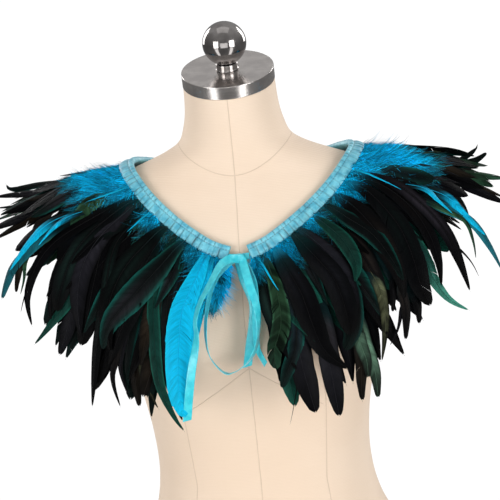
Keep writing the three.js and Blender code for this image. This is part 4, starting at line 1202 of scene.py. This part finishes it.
def feather_mesh(spec, rng):
    """One feather: two vanes of slanted barbs in clumps, and its quill. Points are in millimetres."""
    s, at, wide, out, t_line, d_line = quill_line(spec)
    length = float(np.sum(np.linalg.norm(np.diff(at, axis=0), axis=1)))
    table = np.array(WIDTHS[spec["shape"]])
    half = np.interp(s, table[:, 0], table[:, 1]) * spec["width"] / 2
    half = np.convolve(np.pad(half, 2, mode="edge"), np.ones(5) / 5, mode="valid")
    half[-1] = 0
    room = np.minimum(half, 1.6 + 0.24 * d_line)

    def place(along, over, raised):
        """A point at a share of the length, a width and a height over the quill."""
        x = np.clip(along, 0, 1) * (STATIONS - 1)
        i = np.clip(np.floor(x).astype(int), 0, STATIONS - 2)
        f = (x - i)[..., None]
        base, w, o = (blend(f, line[i], line[i + 1]) for line in (at, wide, out))
        return base + w * over[..., None] + o * raised[..., None]

    points, faces, colours, uvs = [], [], [], []
    count = 0
    middle, edge, tip, tip_share, streak = LOOKS[spec["look"]]
    middle, edge, tip = (linear(code) for code in (middle, edge, tip))
    bright = rng.uniform(*BRIGHT)
    edge_width = rng.uniform(0.25, 0.5)
    root_reach = rng.uniform(24, 50)
    blue = spec["look"] in ("turquoise", "barred")
    if blue:
        bright = BLUE_BRIGHT["middle"] + BLUE_BRIGHT["share"] * (bright - sum(BRIGHT) / 2)
    # A painted sheen: a soft highlight painted into the colour of a dark vane.
    painted_sheen = linear(PAINTED_SHEENS[rng.integers(len(PAINTED_SHEENS))]) * rng.beta(1.0, 1.6) * (0 if blue else 0.65)
    sheen_at = rng.uniform(0.3, 0.65)
    for hand in (-1, 1):
        cuts = np.sort(rng.choice(np.arange(4, BARBS - 1), spec["clumps"], replace=False))
        bounds = [0, *cuts.tolist(), BARBS]
        swing = rng.normal(0, spec["ragged"])
        for first, last in zip(bounds, bounds[1:]):
            k = np.arange(first, last + 1)
            along = BARE_SHARE + VANE_SHARE * k / BARBS
            grown = np.interp(along, s, room)
            over = np.linspace(0, 1, ACROSS + 1)[None, :]
            end = np.clip(along + 0.9 * grown / length, 0, 1)
            reach = np.interp(end, s, room)[:, None] * (1 + rng.normal(0, 0.3 * spec["ragged"]))
            reach = reach * (1 + rng.normal(0, 0.012, (len(k), 1)))
            swing = 0.4 * swing + rng.normal(0, spec["ragged"])
            ahead = np.minimum(grown, 4 * reach[:, 0] + 1)[:, None] * over * (0.6 + 0.35 * over + swing)
            raised = (-0.2 + rng.normal(0, 0.3 * spec["ragged"])) * reach * over**2
            share = along[:, None] + ahead / length
            p = place(share, hand * reach * over, raised)
            points.append(p.reshape(-1, 3))
            faces += grid_faces(len(k), ACROSS + 1, first=count)
            count += p.shape[0] * p.shape[1]
            depth = ease((over - 1 + edge_width) / edge_width)[..., None]
            colour = blend(depth, middle, edge)
            # The painted highlight lies over the middle of the vane, at sheen_at down it.
            lit = bell(over, 0.4, 0.3) * bell(share, sheen_at, 0.2)
            colour = colour + painted_sheen * lit[..., None]
            late = ease((share - 1 + tip_share) / tip_share)[..., None]
            colour = blend(late, colour, tip)
            streaks = 1 + streak * (rng.uniform(-0.9, 0.9, (len(k), 1)) * 0.7 + rng.normal(0, 0.4))
            colour = colour * np.clip(streaks, 0.15, 2.2)[..., None] * bright
            d_here = np.interp(share, s, d_line)
            root_blue = dyed(spec["side"], np.interp(share, s, t_line), d_here)[..., None]
            root = blend(root_blue, DARK_ROOT, BLUE_ROOT)
            early = np.maximum(1 - ease((d_here - 6) / root_reach), 0 if blue else 0.75 * root_blue[..., 0])
            early = early[..., None] * (ROOT_BLUE if blue else ROOT_DARK)
            colour = blend(early, colour, root)
            # Painted shade: where a feather lies under the others, its colour goes dark.
            if spec["covered"] > 0:
                under = (1 - ease((d_here - spec["covered"] + 10) / 24))[..., None]
                colour = blend(under, colour, COVERED_SHADE)
            colours.append(np.broadcast_to(colour, p.shape).reshape(-1, 3))
            barb = k[:, None] * 3.0 + spec["seed"]
            uvs.append(np.stack([barb + 0 * share, over + 0 * share], axis=-1).reshape(-1, 2))
    # Quill: a thin three-sided tube on the outer face.
    thick = (0.7 * (1 - s) ** 0.8 + 0.1) * min(1, spec["width"] / 14)
    rings = []
    for angle in (math.pi / 2, math.pi * 7 / 6, math.pi * 11 / 6):
        aside, above = math.cos(angle) * thick, math.sin(angle) * thick + 0.05
        rings.append(at + wide * aside[:, None] + out * above[:, None])
    tube = np.stack(rings, axis=1)
    points.append(tube.reshape(-1, 3))
    faces += grid_faces(STATIONS, 3, closed=True, first=count)
    root_blue = dyed(spec["side"], t_line, d_line)[:, None]
    early = (1 - ease((d_line - 8) / 45))[:, None]
    quill = blend(early, middle * 1.2 + 0.006, blend(root_blue, DARK_ROOT, BLUE_ROOT) + 0.004)
    colours.append(np.repeat(quill, 3, axis=0))
    uvs.append(np.zeros((STATIONS * 3, 2)))
    return np.concatenate(points), faces, np.concatenate(colours), np.concatenate(uvs)


def make_feathers():
    rng = np.random.default_rng(23)
    groups = {}
    for index, spec in enumerate(grown_specs() + shown_specs()):
        spec["seed"] = index * 7.3
        stretch = next(name for name, low, high in STRETCHES if low <= spec["t"] < high or high == 1)
        hand = "left" if spec["side"] > 0 else "right"
        groups.setdefault(f"{ROWS[spec['row']][0]}_{stretch}_{hand}", []).append(spec)
    for name, specs in sorted(groups.items()):
        points, faces, colours, uvs = [], [], [], []
        count = 0
        for spec in specs:
            p, f, c, u = feather_mesh(spec, rng)
            points.append(clear_of_form(sided(p, spec["side"], spec["t"]), FEATHER_GAP))
            faces += [tuple(k + count for k in face) for face in f]
            colours.append(c)
            uvs.append(u)
            count += len(p)
        points, colours, uvs = (np.concatenate(rows) for rows in (points, colours, uvs))
        mesh_piece(f"plumes_{name}", f"feathers_{name}", points, faces, FEATHER, uvs, colours)


# Down over the roots

STRAND_STEPS = 4
STRAND_HALF = 0.36
DOWN_GAP = 1.0
# Plain down: from and to which t, number of strands, and how far down their roots lie.
PLAIN_DOWN = [(0.05, 0.36, 2600, 44), (0.36, 0.6, 1300, 60), (0.0, 1.0, 1400, 36)]
DOWN_SHADES = ("0b3735", "164436", "2b2a17", "0a1c1e")
BLUE_DOWN = linear("08acdc")
TALL_SHARE = 0.04


def strand_mesh(side, t, d, reach, swing, rise, curve, dye_and_shading):
    """Thin tapering strands that leave the fan at t and d, swung aside and rising over it."""
    f = np.linspace(0, 1, STRAND_STEPS)[None, :]
    along = d[:, None] + reach[:, None] * f * np.cos(swing)[:, None]
    over = reach[:, None] * (f * np.sin(swing)[:, None] + curve[:, None] * f**2)
    low = (0.9 - 0.4 * bell(t, *SHOULDER_TOP))[:, None]
    raised = 0.8 + feather_lift(2, 0.7, along) * low + reach[:, None] * rise[:, None] * f
    at, wide, out = fan_frame(np.broadcast_to(t[:, None], along.shape), along, raised, side)
    at = at + wide * over[..., None]
    flat = unit(np.cross(out, unit(np.gradient(at, axis=1))))
    thin = STRAND_HALF * (1 - 0.85 * f)[..., None]
    p = np.stack([at - flat * thin, at + flat * thin + out * thin * 0.7], axis=2).reshape(-1, 3)
    p = clear_of_form(sided(p, side, np.repeat(t, STRAND_STEPS * 2)), DOWN_GAP)
    one = np.array(grid_faces(STRAND_STEPS, 2))
    faces = (one[None] + (np.arange(len(t)) * STRAND_STEPS * 2)[:, None, None]).reshape(-1, 4)
    return p, faces.tolist(), np.repeat(dye_and_shading, STRAND_STEPS * 2, axis=0)


def make_down():
    rng = np.random.default_rng(37)
    for side, hand in ((1, "left"), (-1, "right")):
        t, d = [], []
        for where, at, spread, amount, reach in DYED:
            if where == side:
                count = int(3500 * spread * amount * (20 + reach) / 2.2)
                t.append(rng.normal(at, spread * 0.7, count))
                d.append(3 + reach * rng.beta(1.0, 1.5, count))
        for low, high, count, reach in PLAIN_DOWN:
            t.append(rng.uniform(low, high, count))
            d.append(3 + reach * rng.beta(0.9, 1.9, count))
        t = np.concatenate(t)
        d = np.concatenate(d)
        # Strands grow in tufts, so their places are drawn a little together.
        t = np.clip(t + 0.004 * np.sin(t * 500) + 0.003 * np.sin(t * 1300 + d / 9), 0.002, 0.998)
        total = len(t)
        tufts = np.interp(t * 300 + d / 30, np.arange(420), rng.uniform(0.3, 1.25, 420))
        blue = dyed(side, t, d) * (0.9 + 0.8 * tufts) + rng.normal(0, 0.14, total)
        blue = np.clip(blue, 0, 1)[:, None]
        shades = np.array([linear(code) for code in DOWN_SHADES])
        dark = shades[np.floor(t * 130 + 0.6 * np.sin(d / 9)).astype(int) * 7 % 4]
        dye_and_shading = blend(blue, dark, BLUE_DOWN)
        tufts = tufts * (0.8 + 0.3 * np.sin(t * 170 - d / 9 + 1))
        dye_and_shading = dye_and_shading * (rng.uniform(0.6, 1.5, total) * (0.5 + 1.4 * tufts))[:, None]
        swing = rng.choice([-1, 1], total) * rng.uniform(0.08, 0.8, total)
        reach = rng.uniform(6, 14, total) + 8 * blue[:, 0] * rng.random(total)
        rise = rng.beta(1.1, 5, total) * (0.2 + 0.25 * blue[:, 0])
        tall = rng.random(total) < TALL_SHARE
        rise = rise + np.where(tall, rng.uniform(0.2, 0.6, total), 0)
        dye_and_shading = dye_and_shading * np.where(tall, 0.35, 1)[:, None]
        p, faces, dye_and_shading = strand_mesh(side, t, d, reach, swing, rise, rng.normal(0, 0.3, total), dye_and_shading)
        mesh_piece(f"down_{hand}", None, p, faces, DOWN, colours=dye_and_shading)


# Stage and light


def make_stage():
    bpy.ops.mesh.primitive_circle_add(vertices=96, radius=0.34, fill_type="NGON", location=(0, 0, -0.0005))
    floor = bpy.context.object
    floor.name = "floor"
    n = material_nodes("pale_floor")
    colour = n.mix(n.span(n.noise(n.place(), 14.0, 3.0), 0.3, 0.7), "eeeeec", "f4f4f2")
    floor.data.materials.append(n.set(Base_Color=colour, Roughness=0.8))


# Lights: name, place, breadth and height, and power. They face the middle of the cape.
LIT_MIDDLE = (0, 0, 0.45)
LIGHTS = [
    ("key", (-1.75, -2.0, 0.62), (1.2, 1.5), 33),
    ("fill", (1.85, -1.95, 0.62), (1.2, 1.5), 39),
    ("front", (0.1, -3.2, 0.3), (2.2, 1.4), 17),
    ("top", (0.0, -0.3, 2.4), (1.6, 1.2), 3),
    ("rim", (1.5, 1.6, 1.2), (0.8, 1.4), 22),
    ("rim_right", (-1.6, 1.5, 1.2), (0.8, 1.4), 22),
]


def make_lights():
    for name, at, size, power_in_watts in LIGHTS:
        light = bpy.data.lights.new(name, "AREA")
        light.shape = "RECTANGLE"
        light.size, light.size_y = size
        light.energy = power_in_watts
        holder = bpy.data.objects.new(name, light)
        holder.location = at
        holder.rotation_euler = (Vector(LIT_MIDDLE) - Vector(at)).to_track_quat("-Z", "Y").to_euler()
        bpy.context.scene.collection.objects.link(holder)
    # The room is white to the camera, and for light it is brighter overhead than round the sides.
    world = bpy.data.worlds.new("white_room")
    bpy.context.scene.world = world
    n = Nodes(world, "Background")
    x, y, z = n.parts(n.place("Generated"))
    room = n.span(z, -0.1, 0.75, 0.18, 0.52, kind="LINEAR")
    # Below the horizon it shows the two front lights drawn out in a glossy floor.
    ahead = n.math("MAXIMUM", n.times(y, -1.0), 0.02)
    aside = n.math("DIVIDE", n.math("ABSOLUTE", x), ahead)
    streak = n.math("COMPARE", aside, 0.95, 0.3)
    below = n.math("COMPARE", z, -0.66, 0.3)
    glow = n.times(n.times(streak, below), 2.2)
    to_camera = n.make("ShaderNodeLightPath").outputs["Is Camera Ray"]
    n.set(Color=(1, 1, 1, 1), Strength=n.span(to_camera, 0.0, 1.0, n.plus(room, glow), 1.05, kind="LINEAR"))
    bpy.context.scene.view_settings.view_transform = "Standard"


make_camera()
make_stage()
make_lights()
make_form()
make_cap()
BAND_PIECE = make_band()
make_knot()
make_bridge()
make_ribbons()
make_feathers()
make_down()
